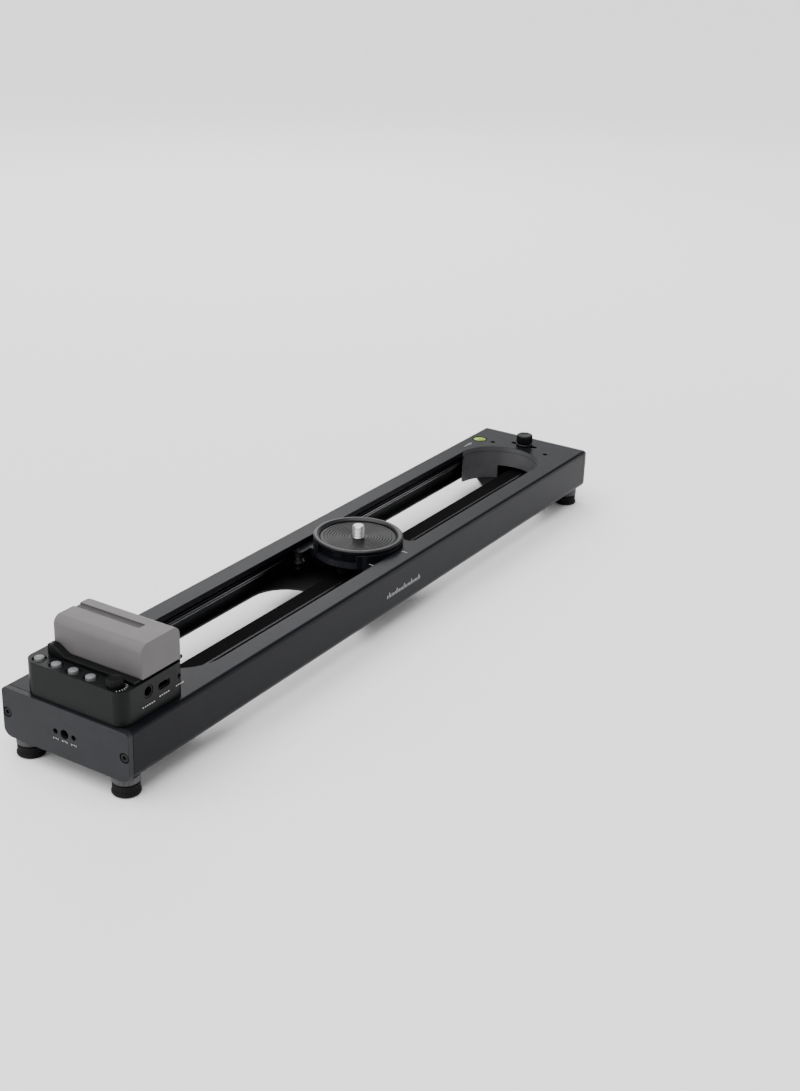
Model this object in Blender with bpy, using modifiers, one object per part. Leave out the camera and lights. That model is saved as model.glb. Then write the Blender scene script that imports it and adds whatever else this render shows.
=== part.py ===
"""A motorised camera slider, 600 mm long, as an assembly of separate solids.

The slider stands on four feet. Its length runs along X, with the control box at the -X end, called
the near end. The front is the -Y side, where the sockets are, and the rear is the +Y side. Most
places are given as a distance from the near end and a height above the body's underside, which
along() and above() turn into world X and Z. Lengths are in metres.
"""

import math

import bmesh
import bpy
from mathutils import Matrix, Vector

MM = 0.001
GAP = 0.3 * MM

# Body
BODY_LENGTH = 600 * MM
BODY_WIDTH = 102 * MM
BODY_HEIGHT = 34 * MM
FOOT_HEIGHT = 13.5 * MM
END_PLATE = 4 * MM
TOP_EDGE_RADIUS = 3 * MM
BOTTOM_EDGE_RADIUS = 6 * MM
CAVITY_HALF_WIDTH = 48 * MM
DECK_UNDERSIDE = 29.8 * MM
LIP_HALF_WIDTH = 46.6 * MM
LIP_TOP = 3.0 * MM
LEDGE_TOP = 25.6 * MM
LEDGE_NOSE = 37.8 * MM
LEDGE_GROOVE = 41.0 * MM
LEDGE_LIP = 1.0 * MM
LEDGE_BOTTOM = 19.8 * MM

# Long opening in the deck
OPENING_RADIUS = 34.4 * MM
OPENING_NEAR_CENTRE = 108 * MM
OPENING_FAR_CENTRE = 532 * MM
LINER_WALL = 2.0 * MM
LINER_HALF_ANGLE = 85
LINER_WINDOW_TOP = 16.6 * MM
LINER_WINDOW_FRONT = -33 * MM
LINER_WINDOW_REAR = 16 * MM

# Floor
FLOOR_BOTTOM = 3.3 * MM
FLOOR_TOP = 4.8 * MM
FLOOR_HALF_WIDTH = 47.6 * MM
WINDOW_HALF_WIDTH = 42.5 * MM
WINDOW_INNER_RADIUS = 30 * MM
WINDOW_OUTER_RADIUS = 8 * MM
NEAR_WINDOW = (75 * MM, 273.5 * MM)
FAR_WINDOW = (326.5 * MM, 555.5 * MM)
WINDOW_TAB = 13.5 * MM

# Guide rods and rollers
ROD_RADIUS = 2.0 * MM
ROD_Y = 38.7 * MM
ROD_HEIGHT = 22.3 * MM
ROLLER_GROOVE_RADIUS = 3.5 * MM
ROLLER_RIM_RADIUS = 4.6 * MM
ROLLER_Y = ROD_Y - ROD_RADIUS - GAP - ROLLER_GROOVE_RADIUS
ROLLER_SPACING = 31 * MM

# Carriage, placed by the middle of its turntable
CARRIAGE_X = 317.5 * MM
RING_RADIUS = 33.8 * MM
RING_TOP = 39.5 * MM
PLATFORM_RADIUS = 28.6 * MM
PLATFORM_TOP = 37.4 * MM
HUB_BORE = 10.4 * MM
HUB_RECESS_ANGLES = (150, 211)
FOLLOWER_REACH = 20 * MM

# Swinging guide bar under the carriage
BAR_TOP = 13.3 * MM
BAR_BOTTOM = 8.3 * MM
BAR_HALF_WIDTH = 7.8 * MM
BAR_CHAMFER = 1.5 * MM
BAR_PIVOT_X = 66 * MM
BAR_CLAMP_X = 580 * MM
BAR_ENDS = (59 * MM, 589 * MM)
CLAMP_SLOT_HALF_LENGTH = 12.35 * MM
CLAMP_SLOT_HALF_WIDTH = 2.2 * MM
STUD_RADIUS = 1.8 * MM

# Belt drive
PULLEY_Y = -24 * MM
DRIVE_PULLEY_X = 40 * MM
IDLER_PULLEY_X = 584 * MM
BELT_PITCH_RADIUS = 6.0 * MM
BELT_THICKNESS = 1.4 * MM
BELT_BOTTOM = 6.0 * MM
BELT_TOP = 12.0 * MM
MOTOR_RADIUS = 12 * MM

# Control box and battery
BOX_NEAR = 2 * MM
BOX_FAR = 60 * MM
BOX_FRONT = -45.5 * MM
BOX_REAR = 33.5 * MM
BOX_TOP = 57.5 * MM
BOX_CORNER = 8 * MM
BOX_WALL = 1.8 * MM
BUTTON_X = 7.8 * MM
BUTTON_YS = (24.8 * MM, 11.1 * MM, -2.6 * MM, -16.3 * MM)
BUTTON_RADIUS = 3.2 * MM
BUTTON_RISE = 1.9 * MM
WELL_RADIUS = 4.7 * MM
DIAL_X = 8.8 * MM
DIAL_Y = -34.6 * MM
DIAL_RADIUS = 5.3 * MM
DIAL_TOP = 62.8 * MM
DC_SOCKET = (25.3 * MM, 50.0 * MM)
USB_SOCKET = (39.6 * MM, 48.6 * MM)
AUX_SOCKET = (53.9 * MM, 48.1 * MM)
SHOE_NEAR = 14.5 * MM
BATTERY_NEAR = 20.6 * MM
BATTERY_FAR = 55.6 * MM
BATTERY_FRONT = -45.3 * MM
BATTERY_REAR = 24.3 * MM
BATTERY_FOOT = 59.1 * MM
BATTERY_TOP = 81.5 * MM
BATTERY_GROOVE = (38.6 * MM, 44.2 * MM)
BATTERY_GROOVE_END = -28 * MM

# Feet, fasteners and the level
FOOT_INSET = 10 * MM
FOOT_Y = 39 * MM
FOOT_RADIUS = 9.2 * MM
SCREW_Y = 47.3 * MM
SCREW_HEIGHT = 17 * MM
COUNTERBORE_RADIUS = 3.5 * MM
QUARTER_INCH_RADIUS = 3.175 * MM
THREE_EIGHTHS_RADIUS = 4.7625 * MM
LOCATING_HOLE_RADIUS = 1.8 * MM
LOCATING_HOLE_Y = 7.3 * MM
DECK_HOLE_X = 570 * MM
DECK_HOLE_Y = 26 * MM
LEVEL_Y = 39.3 * MM
LEVEL_RADIUS = 6.2 * MM

FINISHES = {
    "anodised": ((0.055, 0.057, 0.062), 0.42, 0.6),
    "end_plate": ((0.06, 0.061, 0.066), 0.45, 0.5),
    "sheet": ((0.03, 0.03, 0.032), 0.5, 0.6),
    "steel": ((0.42, 0.42, 0.43), 0.25, 1.0),
    "dark_steel": ((0.06, 0.06, 0.065), 0.35, 0.9),
    "plastic": ((0.035, 0.037, 0.038), 0.55, 0.0),
    "rubber": ((0.015, 0.015, 0.016), 0.8, 0.0),
    "button": ((0.25, 0.25, 0.26), 0.5, 0.0),
    "belt": ((0.012, 0.012, 0.012), 0.7, 0.0),
    "board": ((0.01, 0.09, 0.04), 0.5, 0.0),
    "brass": ((0.6, 0.43, 0.18), 0.3, 1.0),
    "vial": ((0.5, 0.85, 0.1), 0.15, 0.0),
    "battery": ((0.2, 0.19, 0.2), 0.5, 0.0),
}


def along(distance):
    """World X of a distance from the near end."""
    return distance - BODY_LENGTH / 2


def above(height):
    """World Z of a height above the body's underside."""
    return height + FOOT_HEIGHT


def clear_scene():
    for item in list(bpy.data.objects):
        bpy.data.objects.remove(item)


def collection(name):
    """The scene's collection of this name, made when it is first asked for."""
    if name not in bpy.data.collections:
        bpy.context.scene.collection.children.link(bpy.data.collections.new(name))
    return bpy.data.collections[name]


# Outlines: lists of (u, v) points

def arc(centre_u, centre_v, radius, start, end, steps):
    """Points along an arc, with its angles in degrees."""
    points = []
    for step in range(steps + 1):
        angle = math.radians(start + (end - start) * step / steps)
        points.append((centre_u + radius * math.cos(angle), centre_v + radius * math.sin(angle)))
    return points


def circle(centre_u, centre_v, radius, steps=32):
    return arc(centre_u, centre_v, radius, 0, 360 - 360 / steps, steps - 1)


def rounded(low_u, low_v, high_u, high_v, radii, steps=6):
    """A rectangle with its own radius at each corner: low-low, high-low, high-high and low-high."""
    corners = ((low_u, low_v, 1, 1, 180), (high_u, low_v, -1, 1, 270),
               (high_u, high_v, -1, -1, 0), (low_u, high_v, 1, -1, 90))
    points = []
    for (u, v, side_u, side_v, start), radius in zip(corners, radii):
        if radius == 0:
            points.append((u, v))
        else:
            centre = (u + side_u * radius, v + side_v * radius)
            points += arc(centre[0], centre[1], radius, start, start + 90, steps)
    return points


def stadium(start_u, end_u, centre_v, radius, steps=20):
    """Two half circles joined by straight sides along u."""
    return (arc(end_u, centre_v, radius, -90, 90, steps)
            + arc(start_u, centre_v, radius, 90, 270, steps))


def mirrored(points):
    return [(-u, v) for u, v in points]


# Solids

def finished(item, finish, origin=None):
    """Give an object its material, its collection and its origin."""
    color, roughness, metallic = FINISHES[finish]
    material = bpy.data.materials.new(item.name)
    material.use_nodes = True
    shader = material.node_tree.nodes["Principled BSDF"]
    shader.inputs["Base Color"].default_value = (*color, 1)
    shader.inputs["Roughness"].default_value = roughness
    shader.inputs["Metallic"].default_value = metallic
    item.data.materials.clear()
    item.data.materials.append(material)
    if origin is not None:
        item.data.transform(Matrix.Translation(-Vector(origin)))
        item.location = Vector(origin)
    collection("camera_slider").objects.link(item)
    bpy.context.scene.collection.objects.unlink(item)
    return item


def from_bmesh(name, shape, place=Matrix.Identity(4)):
    """Close a shape's seams, face it outwards and make it an object."""
    bmesh.ops.remove_doubles(shape, verts=shape.verts, dist=0.000002)
    bmesh.ops.recalc_face_normals(shape, faces=shape.faces)
    bmesh.ops.transform(shape, matrix=place, verts=shape.verts)
    mesh = bpy.data.meshes.new(name)
    shape.to_mesh(mesh)
    shape.free()
    mesh.shade_smooth()
    mesh.set_sharp_from_angle(angle=math.radians(35))
    item = bpy.data.objects.new(name, mesh)
    bpy.context.scene.collection.objects.link(item)
    return item


def flat_solid(name, outlines, thickness, place):
    """A filled 2D curve with thickness. Outlines inside another are holes."""
    curve = bpy.data.curves.new(name, "CURVE")
    curve.dimensions = "2D"
    curve.fill_mode = "BOTH"
    curve.extrude = thickness / 2
    for outline in outlines:
        spline = curve.splines.new("POLY")
        spline.points.add(len(outline) - 1)
        for point, (u, v) in zip(spline.points, outline):
            point.co = (u, v, 0, 1)
        spline.use_cyclic_u = True
    guide = bpy.data.objects.new(name, curve)
    bpy.context.scene.collection.objects.link(guide)
    evaluated = guide.evaluated_get(bpy.context.evaluated_depsgraph_get())
    mesh = bpy.data.meshes.new_from_object(evaluated)
    shape = bmesh.new()
    shape.from_mesh(mesh)
    bmesh.ops.translate(shape, verts=shape.verts, vec=(0, 0, thickness / 2))
    bpy.data.objects.remove(guide)
    bpy.data.meshes.remove(mesh)
    return from_bmesh(name, shape, place)


def upright(name, outlines, bottom, top):
    """Outlines in (distance from the near end, y), carried up between two heights."""
    place = Matrix.Translation((along(0), 0, above(bottom)))
    return flat_solid(name, outlines, top - bottom, place)


def lengthwise(name, outlines, start, end):
    """Outlines in (y, height), carried along the slider between two distances."""
    turn = Matrix(((0, 0, 1, along(start)), (1, 0, 0, 0), (0, 1, 0, above(0)), (0, 0, 0, 1)))
    return flat_solid(name, outlines, end - start, turn)


def crosswise(name, outlines, front, rear):
    """Outlines in (height, distance from the near end), carried across from front to rear."""
    turn = Matrix(((0, 1, 0, along(0)), (0, 0, 1, front), (1, 0, 0, above(0)), (0, 0, 0, 1)))
    return flat_solid(name, outlines, rear - front, turn)


def block(name, low, high):
    """A box between two corners, each (distance, y, height)."""
    centre = [(a + b) / 2 for a, b in zip(low, high)]
    size = [b - a for a, b in zip(low, high)]
    shape = bmesh.new()
    bmesh.ops.create_cube(shape, size=1, matrix=Matrix.Diagonal((*size, 1)))
    place = Matrix.Translation((along(centre[0]), centre[1], above(centre[2])))
    return from_bmesh(name, shape, place)


def turned(name, profile, distance, y, steps=32, axis="Z", height=0):
    """A profile of (radius, height) points, turned about an upright axis, or about one along Y.

    The profile runs down the outer side from the axis to the axis. About Y its heights are y values
    and height is the axis's height.
    """
    mesh = bpy.data.meshes.new(name)
    vertices = [(radius, 0, level) for radius, level in profile]
    mesh.from_pydata(vertices, [(i, i + 1) for i in range(len(vertices) - 1)], [])
    guide = bpy.data.objects.new(name, mesh)
    bpy.context.scene.collection.objects.link(guide)
    screw = guide.modifiers.new("turn", "SCREW")
    screw.steps = steps
    screw.render_steps = steps
    screw.use_merge_vertices = True
    screw.merge_threshold = 0.00001
    evaluated = guide.evaluated_get(bpy.context.evaluated_depsgraph_get())
    result = bpy.data.meshes.new_from_object(evaluated)
    shape = bmesh.new()
    shape.from_mesh(result)
    bpy.data.objects.remove(guide)
    bpy.data.meshes.remove(result)
    if axis == "Z":
        place = Matrix.Translation((along(distance), y, above(0)))
    else:
        place = Matrix(((1, 0, 0, along(distance)), (0, 0, 1, 0), (0, -1, 0, above(height)),
                        (0, 0, 0, 1)))
    return from_bmesh(name, shape, place)


def use_as_tool(item, tool, operation):
    """Cut a tool from an object, or join it on, and put the tool with the cutters."""
    step = item.modifiers.new(tool.name, "BOOLEAN")
    step.operation = operation
    step.solver = "EXACT"
    step.object = tool
    tool.display_type = "WIRE"
    tool.hide_render = True
    collection("cutters").objects.link(tool)
    bpy.context.scene.collection.objects.unlink(tool)


def cut(item, tool):
    use_as_tool(item, tool, "DIFFERENCE")


def join(item, tool):
    use_as_tool(item, tool, "UNION")


def ring_profile(outer, inner, bottom, top, chamfer=0.0):
    """A closed profile for a tube, with its outer edges chamfered."""
    return [(inner, top), (outer - chamfer, top), (outer, top - chamfer), (outer, bottom + chamfer),
            (outer - chamfer, bottom), (inner, bottom), (inner, top)]


def pin_profile(radius, bottom, top, chamfer=0.0):
    """A profile for a solid pin, with its edges chamfered."""
    return [(0, top), (radius - chamfer, top), (radius, top - chamfer),
            (radius, bottom + chamfer), (radius - chamfer, bottom), (0, bottom)]


# Body

def housing_section():
    """Outer skin, bottom lips, side walls, rod ledges and deck, as one closed (y, height) outline."""
    half = BODY_WIDTH / 2
    low = half - BOTTOM_EDGE_RADIUS
    high = half - TOP_EDGE_RADIUS
    start = -math.degrees(math.acos((LIP_HALF_WIDTH - low) / BOTTOM_EDGE_RADIUS))
    outer = (arc(low, BOTTOM_EDGE_RADIUS, BOTTOM_EDGE_RADIUS, start, 0, 8)
             + arc(high, BODY_HEIGHT - TOP_EDGE_RADIUS, TOP_EDGE_RADIUS, 0, 90, 8))
    inner = [(CAVITY_HALF_WIDTH, DECK_UNDERSIDE), (CAVITY_HALF_WIDTH, LEDGE_TOP),
             (LEDGE_NOSE, LEDGE_TOP), (LEDGE_NOSE, LEDGE_TOP - LEDGE_LIP),
             (LEDGE_GROOVE, LEDGE_TOP - LEDGE_LIP), (LEDGE_GROOVE, LEDGE_BOTTOM),
             (CAVITY_HALF_WIDTH, LEDGE_BOTTOM), (CAVITY_HALF_WIDTH, LIP_TOP),
             (LIP_HALF_WIDTH, LIP_TOP)]
    return outer + mirrored(outer)[::-1] + mirrored(inner)[::-1] + inner


def screw_axes():
    """Every end plate screw, as its name, the plate's outer face, its inward direction and its y."""
    for end, face, inward in (("near", 0, 1), ("far", BODY_LENGTH, -1)):
        for side, y in (("front", -SCREW_Y), ("rear", SCREW_Y)):
            yield f"{end}_{side}", face, inward, y


def lengthwise_rod(name, y, height, radius, start, end, steps=24):
    low, high = sorted((start, end))
    return lengthwise(name, [circle(y, height, radius, steps)], low, high)


def build_housing():
    housing = lengthwise("housing", [housing_section()], END_PLATE + GAP,
                         BODY_LENGTH - END_PLATE - GAP)
    openings = [
        stadium(OPENING_NEAR_CENTRE, OPENING_FAR_CENTRE, 0, OPENING_RADIUS),
        circle(DRIVE_PULLEY_X, PULLEY_Y, MOTOR_RADIUS + 1 * MM),
        circle(DECK_HOLE_X, LEVEL_Y, LEVEL_RADIUS + GAP),
        circle(DECK_HOLE_X, DECK_HOLE_Y, 2.1 * MM, 16),
        circle(DECK_HOLE_X, -DECK_HOLE_Y, 2.1 * MM, 16),
        clamp_slot(),
    ]
    cut(housing, upright("deck_openings", openings, DECK_UNDERSIDE - 1 * MM, BODY_HEIGHT + 1 * MM))
    for name, face, inward, y in screw_axes():
        cut(housing, lengthwise_rod(f"{name}_port", y, SCREW_HEIGHT, 1.8 * MM,
                                    face + inward * 3 * MM, face + inward * 12 * MM, 12))
    return finished(housing, "anodised")


def clamp_slot():
    """The slot across the far deck, in which the clamp's stud swings."""
    reach = CLAMP_SLOT_HALF_LENGTH - CLAMP_SLOT_HALF_WIDTH
    rear = arc(BAR_CLAMP_X, reach, CLAMP_SLOT_HALF_WIDTH, 0, 180, 8)
    front = arc(BAR_CLAMP_X, -reach, CLAMP_SLOT_HALF_WIDTH, 180, 360, 8)
    return rear + front


def floor_window(inner, outer):
    """A floor opening: broad curves towards the middle, and a tab at its outer end."""
    side = 1 if outer > inner else -1
    half = WINDOW_HALF_WIDTH
    broad = arc(inner + side * WINDOW_INNER_RADIUS, half - WINDOW_INNER_RADIUS,
                WINDOW_INNER_RADIUS, 180 if side > 0 else 0, 90, 8)
    tight = arc(outer - side * WINDOW_OUTER_RADIUS, half - WINDOW_OUTER_RADIUS,
                WINDOW_OUTER_RADIUS, 90, 0 if side > 0 else 180, 5)
    upper = broad + tight + [(outer, half - WINDOW_OUTER_RADIUS - 1 * MM),
                             (outer - side * WINDOW_TAB, half - WINDOW_OUTER_RADIUS - 14.5 * MM)]
    return upper + [(u, -v) for u, v in reversed(upper)]


TRIPOD_THREADS = ((300 * MM, THREE_EIGHTHS_RADIUS, 8.5 * MM),
                  (284 * MM, QUARTER_INCH_RADIUS, 6 * MM),
                  (316 * MM, QUARTER_INCH_RADIUS, 6 * MM))


def build_floor():
    near = (END_PLATE + GAP, BODY_LENGTH - END_PLATE - GAP)
    outline = rounded(near[0], -FLOOR_HALF_WIDTH, near[1], FLOOR_HALF_WIDTH, (0, 0, 0, 0))
    holes = [floor_window(NEAR_WINDOW[1], NEAR_WINDOW[0]), floor_window(*FAR_WINDOW)]
    for distance, thread, boss in TRIPOD_THREADS:
        holes.append(circle(distance, 0, boss + GAP, 24))
    for distance, y in foot_places().values():
        holes.append(circle(distance, y, 3.4 * MM, 16))
    finished(upright("floor_plate", [outline] + holes, FLOOR_BOTTOM, FLOOR_TOP), "sheet")

    slab = rounded(274 * MM, -24 * MM, 326 * MM, 24 * MM, [4 * MM] * 4, 4)
    threads = [circle(distance, 0, thread, 24) for distance, thread, boss in TRIPOD_THREADS]
    tripod = upright("tripod_block", [slab] + threads, 0, LIP_TOP)
    for index, (distance, thread, boss) in enumerate(TRIPOD_THREADS):
        raised = upright(f"boss_{index}", [circle(distance, 0, boss, 24),
                                           circle(distance, 0, thread, 24)],
                         LIP_TOP - 0.5 * MM, 7.9 * MM)
        join(tripod, raised)
    finished(tripod, "steel")


def build_end_plates():
    """Two end plates with a 1/4 inch thread between two locating holes, and their four screws."""
    half = BODY_WIDTH / 2
    radii = (BOTTOM_EDGE_RADIUS, BOTTOM_EDGE_RADIUS, TOP_EDGE_RADIUS, TOP_EDGE_RADIUS)
    outline = rounded(-half, 0, half, BODY_HEIGHT, radii, 8)
    holes = [circle(0, SCREW_HEIGHT, QUARTER_INCH_RADIUS, 24)]
    for y in (-LOCATING_HOLE_Y, LOCATING_HOLE_Y):
        holes.append(circle(y, SCREW_HEIGHT, LOCATING_HOLE_RADIUS, 16))
    for y in (-SCREW_Y, SCREW_Y):
        holes.append(circle(y, SCREW_HEIGHT, 1.8 * MM, 16))
    plates = {
        "near": lengthwise("near_end_plate", [outline] + holes, 0, END_PLATE),
        "far": lengthwise("far_end_plate", [outline] + holes, BODY_LENGTH - END_PLATE, BODY_LENGTH),
    }
    for name, face, inward, y in screw_axes():
        end = name.split("_")[0]
        bore = lengthwise_rod(f"{name}_counterbore", y, SCREW_HEIGHT, COUNTERBORE_RADIUS,
                              face - inward * 1 * MM, face + inward * 2.6 * MM)
        cut(plates[end], bore)
        screw = lengthwise_rod(f"end_screw_{name}", y, SCREW_HEIGHT, 2.8 * MM,
                               face + inward * 0.3 * MM, face + inward * 2.3 * MM, 20)
        shank = lengthwise_rod(f"{name}_shank", y, SCREW_HEIGHT, 1.5 * MM,
                               face + inward * 2 * MM, face + inward * 11 * MM, 12)
        join(screw, shank)
        socket = lengthwise_rod(f"{name}_socket", y, SCREW_HEIGHT, 1.5 * MM,
                                face - inward * 0.5 * MM, face + inward * 1.5 * MM, 6)
        cut(screw, socket)
        finished(screw, "dark_steel")
    for plate in plates.values():
        finished(plate, "end_plate")


def build_liners():
    """The curved walls that close the opening's ends, with a low window for bar and belt."""
    outer = OPENING_RADIUS + LINER_WALL
    for name, centre, heading in (("near_end_liner", OPENING_NEAR_CENTRE, 180),
                                  ("far_end_liner", OPENING_FAR_CENTRE, 0)):
        outline = (arc(centre, 0, outer, heading - LINER_HALF_ANGLE, heading + LINER_HALF_ANGLE, 28)
                   + arc(centre, 0, OPENING_RADIUS, heading + LINER_HALF_ANGLE,
                         heading - LINER_HALF_ANGLE, 28))
        liner = upright(name, [outline], FLOOR_TOP + GAP, DECK_UNDERSIDE - GAP)
        side = 1 if heading == 0 else -1
        reach = sorted((centre + side * 10 * MM, centre + side * 45 * MM))
        cut(liner, block(f"{name}_window", (reach[0], LINER_WINDOW_FRONT, 0),
                         (reach[1], LINER_WINDOW_REAR, LINER_WINDOW_TOP)))
        finished(liner, "anodised")


def build_guide_rods():
    for name, y in (("front_guide_rod", -ROD_Y), ("rear_guide_rod", ROD_Y)):
        rod = lengthwise_rod(name, y, ROD_HEIGHT, ROD_RADIUS, 6 * MM, BODY_LENGTH - 6 * MM, 16)
        finished(rod, "steel")


# Swinging guide bar

def build_guide_bar():
    """The bar that steers the turntable, its pivot at the near end and its clamp at the far end."""
    half = BAR_HALF_WIDTH
    side = half - BAR_CHAMFER
    section = [(-half, BAR_BOTTOM), (half, BAR_BOTTOM), (half, BAR_TOP - BAR_CHAMFER),
               (side, BAR_TOP), (-side, BAR_TOP), (-half, BAR_TOP - BAR_CHAMFER)]
    bar = lengthwise("guide_bar", [section], *BAR_ENDS)
    pivot = (along(BAR_PIVOT_X), 0, above(BAR_TOP))
    holes = [circle(BAR_PIVOT_X, 0, 2.3 * MM, 16), circle(BAR_CLAMP_X, 0, 2.1 * MM, 16)]
    bores = upright("bar_bores", holes, BAR_BOTTOM - 1 * MM, BAR_TOP + 1 * MM)
    cut(bar, bores)
    bar.data.transform(Matrix.Translation(-Vector(pivot)))
    bar.location = pivot
    finished(bar, "anodised")

    pin = [(0, 15.6 * MM), (3.6 * MM, 15.6 * MM), (4 * MM, 15.2 * MM), (4 * MM, 13.6 * MM),
           (2 * MM, 13.6 * MM), (2 * MM, FLOOR_TOP + GAP), (0, FLOOR_TOP + GAP)]
    finished(turned("bar_pivot_pin", pin, BAR_PIVOT_X, 0, 20), "steel", pivot)

    clamp = (along(BAR_CLAMP_X), 0, above(BAR_TOP))
    sleeve = ring_profile(5 * MM, 2.1 * MM, BAR_TOP + GAP, DECK_UNDERSIDE - GAP, 0.5 * MM)
    finished(turned("clamp_sleeve", sleeve, BAR_CLAMP_X, 0, 24), "dark_steel", clamp)
    knob = [(0, 43.8 * MM), (6.2 * MM, 43.8 * MM), (7 * MM, 43 * MM), (7 * MM, 37.2 * MM),
            (6.4 * MM, 36.6 * MM), (6.4 * MM, 35.9 * MM), (7.2 * MM, 35.3 * MM),
            (7.2 * MM, BODY_HEIGHT + GAP), (STUD_RADIUS, BODY_HEIGHT + GAP), (STUD_RADIUS, 6 * MM),
            (0, 6 * MM)]
    finished(turned("clamp_knob", knob, BAR_CLAMP_X, 0, 32), "dark_steel", clamp)


# Carriage

def build_carriage_plate():
    """A round hub with a recess in its side, roller ears, and a tongue for the belt clamp."""
    reach = ROD_Y - ROD_RADIUS - 0.5 * MM
    core = rounded(CARRIAGE_X - 24 * MM, -reach, CARRIAGE_X + 24 * MM, reach, [1 * MM] * 4, 2)
    plate = upright("carriage_plate", [core], 22.3 * MM, 29.3 * MM)
    ear = ROLLER_SPACING + 5 * MM
    for side, low in (("front", -reach), ("rear", reach - 9 * MM)):
        ears = rounded(CARRIAGE_X - ear, low, CARRIAGE_X + ear, low + 9 * MM, [3 * MM] * 4, 4)
        join(plate, upright(f"{side}_ears", [ears], 26.9 * MM, 29.1 * MM))
    hub = turned("hub", pin_profile(RING_RADIUS, 25 * MM, 36 * MM, 0.4 * MM), CARRIAGE_X, 0, 56)
    join(plate, hub)
    tongue = rounded(CARRIAGE_X + 20 * MM, -25 * MM, CARRIAGE_X + 36 * MM, -12 * MM,
                     (0, 2 * MM, 2 * MM, 0), 3)
    join(plate, upright("clamp_tongue", [tongue], 22.3 * MM, 27 * MM))
    start, end = HUB_RECESS_ANGLES
    recess = (arc(CARRIAGE_X, 0, RING_RADIUS + 2 * MM, start, end, 12)
              + arc(CARRIAGE_X, 0, RING_RADIUS - 3.2 * MM, end, start, 12))
    cut(plate, upright("hub_recess", [recess], 30 * MM, 36.5 * MM))
    cut(plate, upright("hub_bore", [circle(CARRIAGE_X, 0, HUB_BORE)], 20 * MM, 40 * MM))
    seat = [circle(CARRIAGE_X, 0, PLATFORM_RADIUS + 0.4 * MM, 48)]
    cut(plate, upright("platform_seat", seat, 32.5 * MM, 40 * MM))
    for name, x, y in roller_places():
        cut(plate, upright(f"{name}_hole", [circle(x, y, 2.2 * MM, 12)], 26 * MM, 30 * MM))
    finished(plate, "anodised")


def roller_places():
    """Every roller: its name, its distance from the near end and its y."""
    for end, x in (("near", CARRIAGE_X - ROLLER_SPACING), ("far", CARRIAGE_X + ROLLER_SPACING)):
        for side, y in (("front", -ROLLER_Y), ("rear", ROLLER_Y)):
            yield f"{end}_{side}", x, y


def build_rollers():
    """Grooved rollers that run on the rods, each on its own axle."""
    middle = ROD_HEIGHT
    rim = ROLLER_RIM_RADIUS
    groove = ROLLER_GROOVE_RADIUS
    bore = 2.2 * MM
    profile = [(bore, middle + 4.2 * MM), (rim - 0.6 * MM, middle + 4.2 * MM),
               (rim, middle + 3.6 * MM), (rim, middle + 3.0 * MM),
               (groove, middle + 1.2 * MM), (groove, middle - 1.2 * MM), (rim, middle - 3.0 * MM),
               (rim, middle - 3.6 * MM), (rim - 0.6 * MM, middle - 4.2 * MM),
               (bore, middle - 4.2 * MM), (bore, middle + 4.2 * MM)]
    axle = [(0, 29.5 * MM), (1.5 * MM, 29.5 * MM), (1.9 * MM, 29.1 * MM), (1.9 * MM, 15.6 * MM),
            (3.6 * MM, 15.6 * MM), (3.8 * MM, 15.4 * MM), (3.8 * MM, 13.8 * MM),
            (3.4 * MM, 13.4 * MM), (0, 13.4 * MM)]
    for name, x, y in roller_places():
        origin = (along(x), y, above(middle))
        finished(turned(f"roller_{name}", profile, x, y, 20), "plastic", origin)
        finished(turned(f"axle_{name}", axle, x, y, 14), "steel", origin)


def build_turntable():
    """The rotating rim and platform with the camera screw, and the arm that follows the bar."""
    origin = (along(CARRIAGE_X), 0, above(RING_TOP))
    inner = PLATFORM_RADIUS + 0.4 * MM
    rim = [(inner + 0.8 * MM, RING_TOP), (RING_RADIUS - 0.6 * MM, RING_TOP),
           (RING_RADIUS, RING_TOP - 0.6 * MM), (RING_RADIUS, 36.9 * MM),
           (RING_RADIUS - 0.6 * MM, 36.3 * MM), (inner, 36.3 * MM), (inner, RING_TOP - 1.2 * MM),
           (inner + 0.8 * MM, RING_TOP)]
    finished(turned("turntable_ring", rim, CARRIAGE_X, 0, 56), "anodised", origin)
    stem = HUB_BORE - 0.4 * MM
    bore = 5.0 * MM
    platform = [(bore, PLATFORM_TOP), (PLATFORM_RADIUS - 0.5 * MM, PLATFORM_TOP),
                (PLATFORM_RADIUS, PLATFORM_TOP - 0.5 * MM), (PLATFORM_RADIUS, 32.9 * MM),
                (stem, 32.9 * MM), (stem, 19.2 * MM), (bore, 19.2 * MM), (bore, PLATFORM_TOP)]
    finished(turned("turntable_platform", platform, CARRIAGE_X, 0, 48), "dark_steel", origin)
    screw = pin_profile(4.7 * MM, 19.4 * MM, 46.4 * MM, 0.8 * MM)
    finished(turned("camera_screw", screw, CARRIAGE_X, 0, 20), "steel", origin)

    tip = CARRIAGE_X - FOLLOWER_REACH
    link = arc(CARRIAGE_X, 0, 8 * MM, -90, 90, 10) + arc(tip, 0, 5 * MM, 90, 270, 8)
    arm = upright("follower_arm", [link, circle(tip, 0, 1.7 * MM, 12)], 16.6 * MM, 18.9 * MM)
    finished(arm, "dark_steel", origin)
    wheel = [(0, 18.4 * MM), (1.4 * MM, 18.4 * MM), (1.4 * MM, 16.3 * MM), (3.6 * MM, 16.3 * MM),
             (4 * MM, 15.9 * MM), (4 * MM, 14.3 * MM), (3.6 * MM, 13.9 * MM), (0, 13.9 * MM)]
    place = (along(tip), 0, above(15 * MM))
    finished(turned("follower_roller", wheel, tip, 0, 16), "steel", place)


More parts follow.
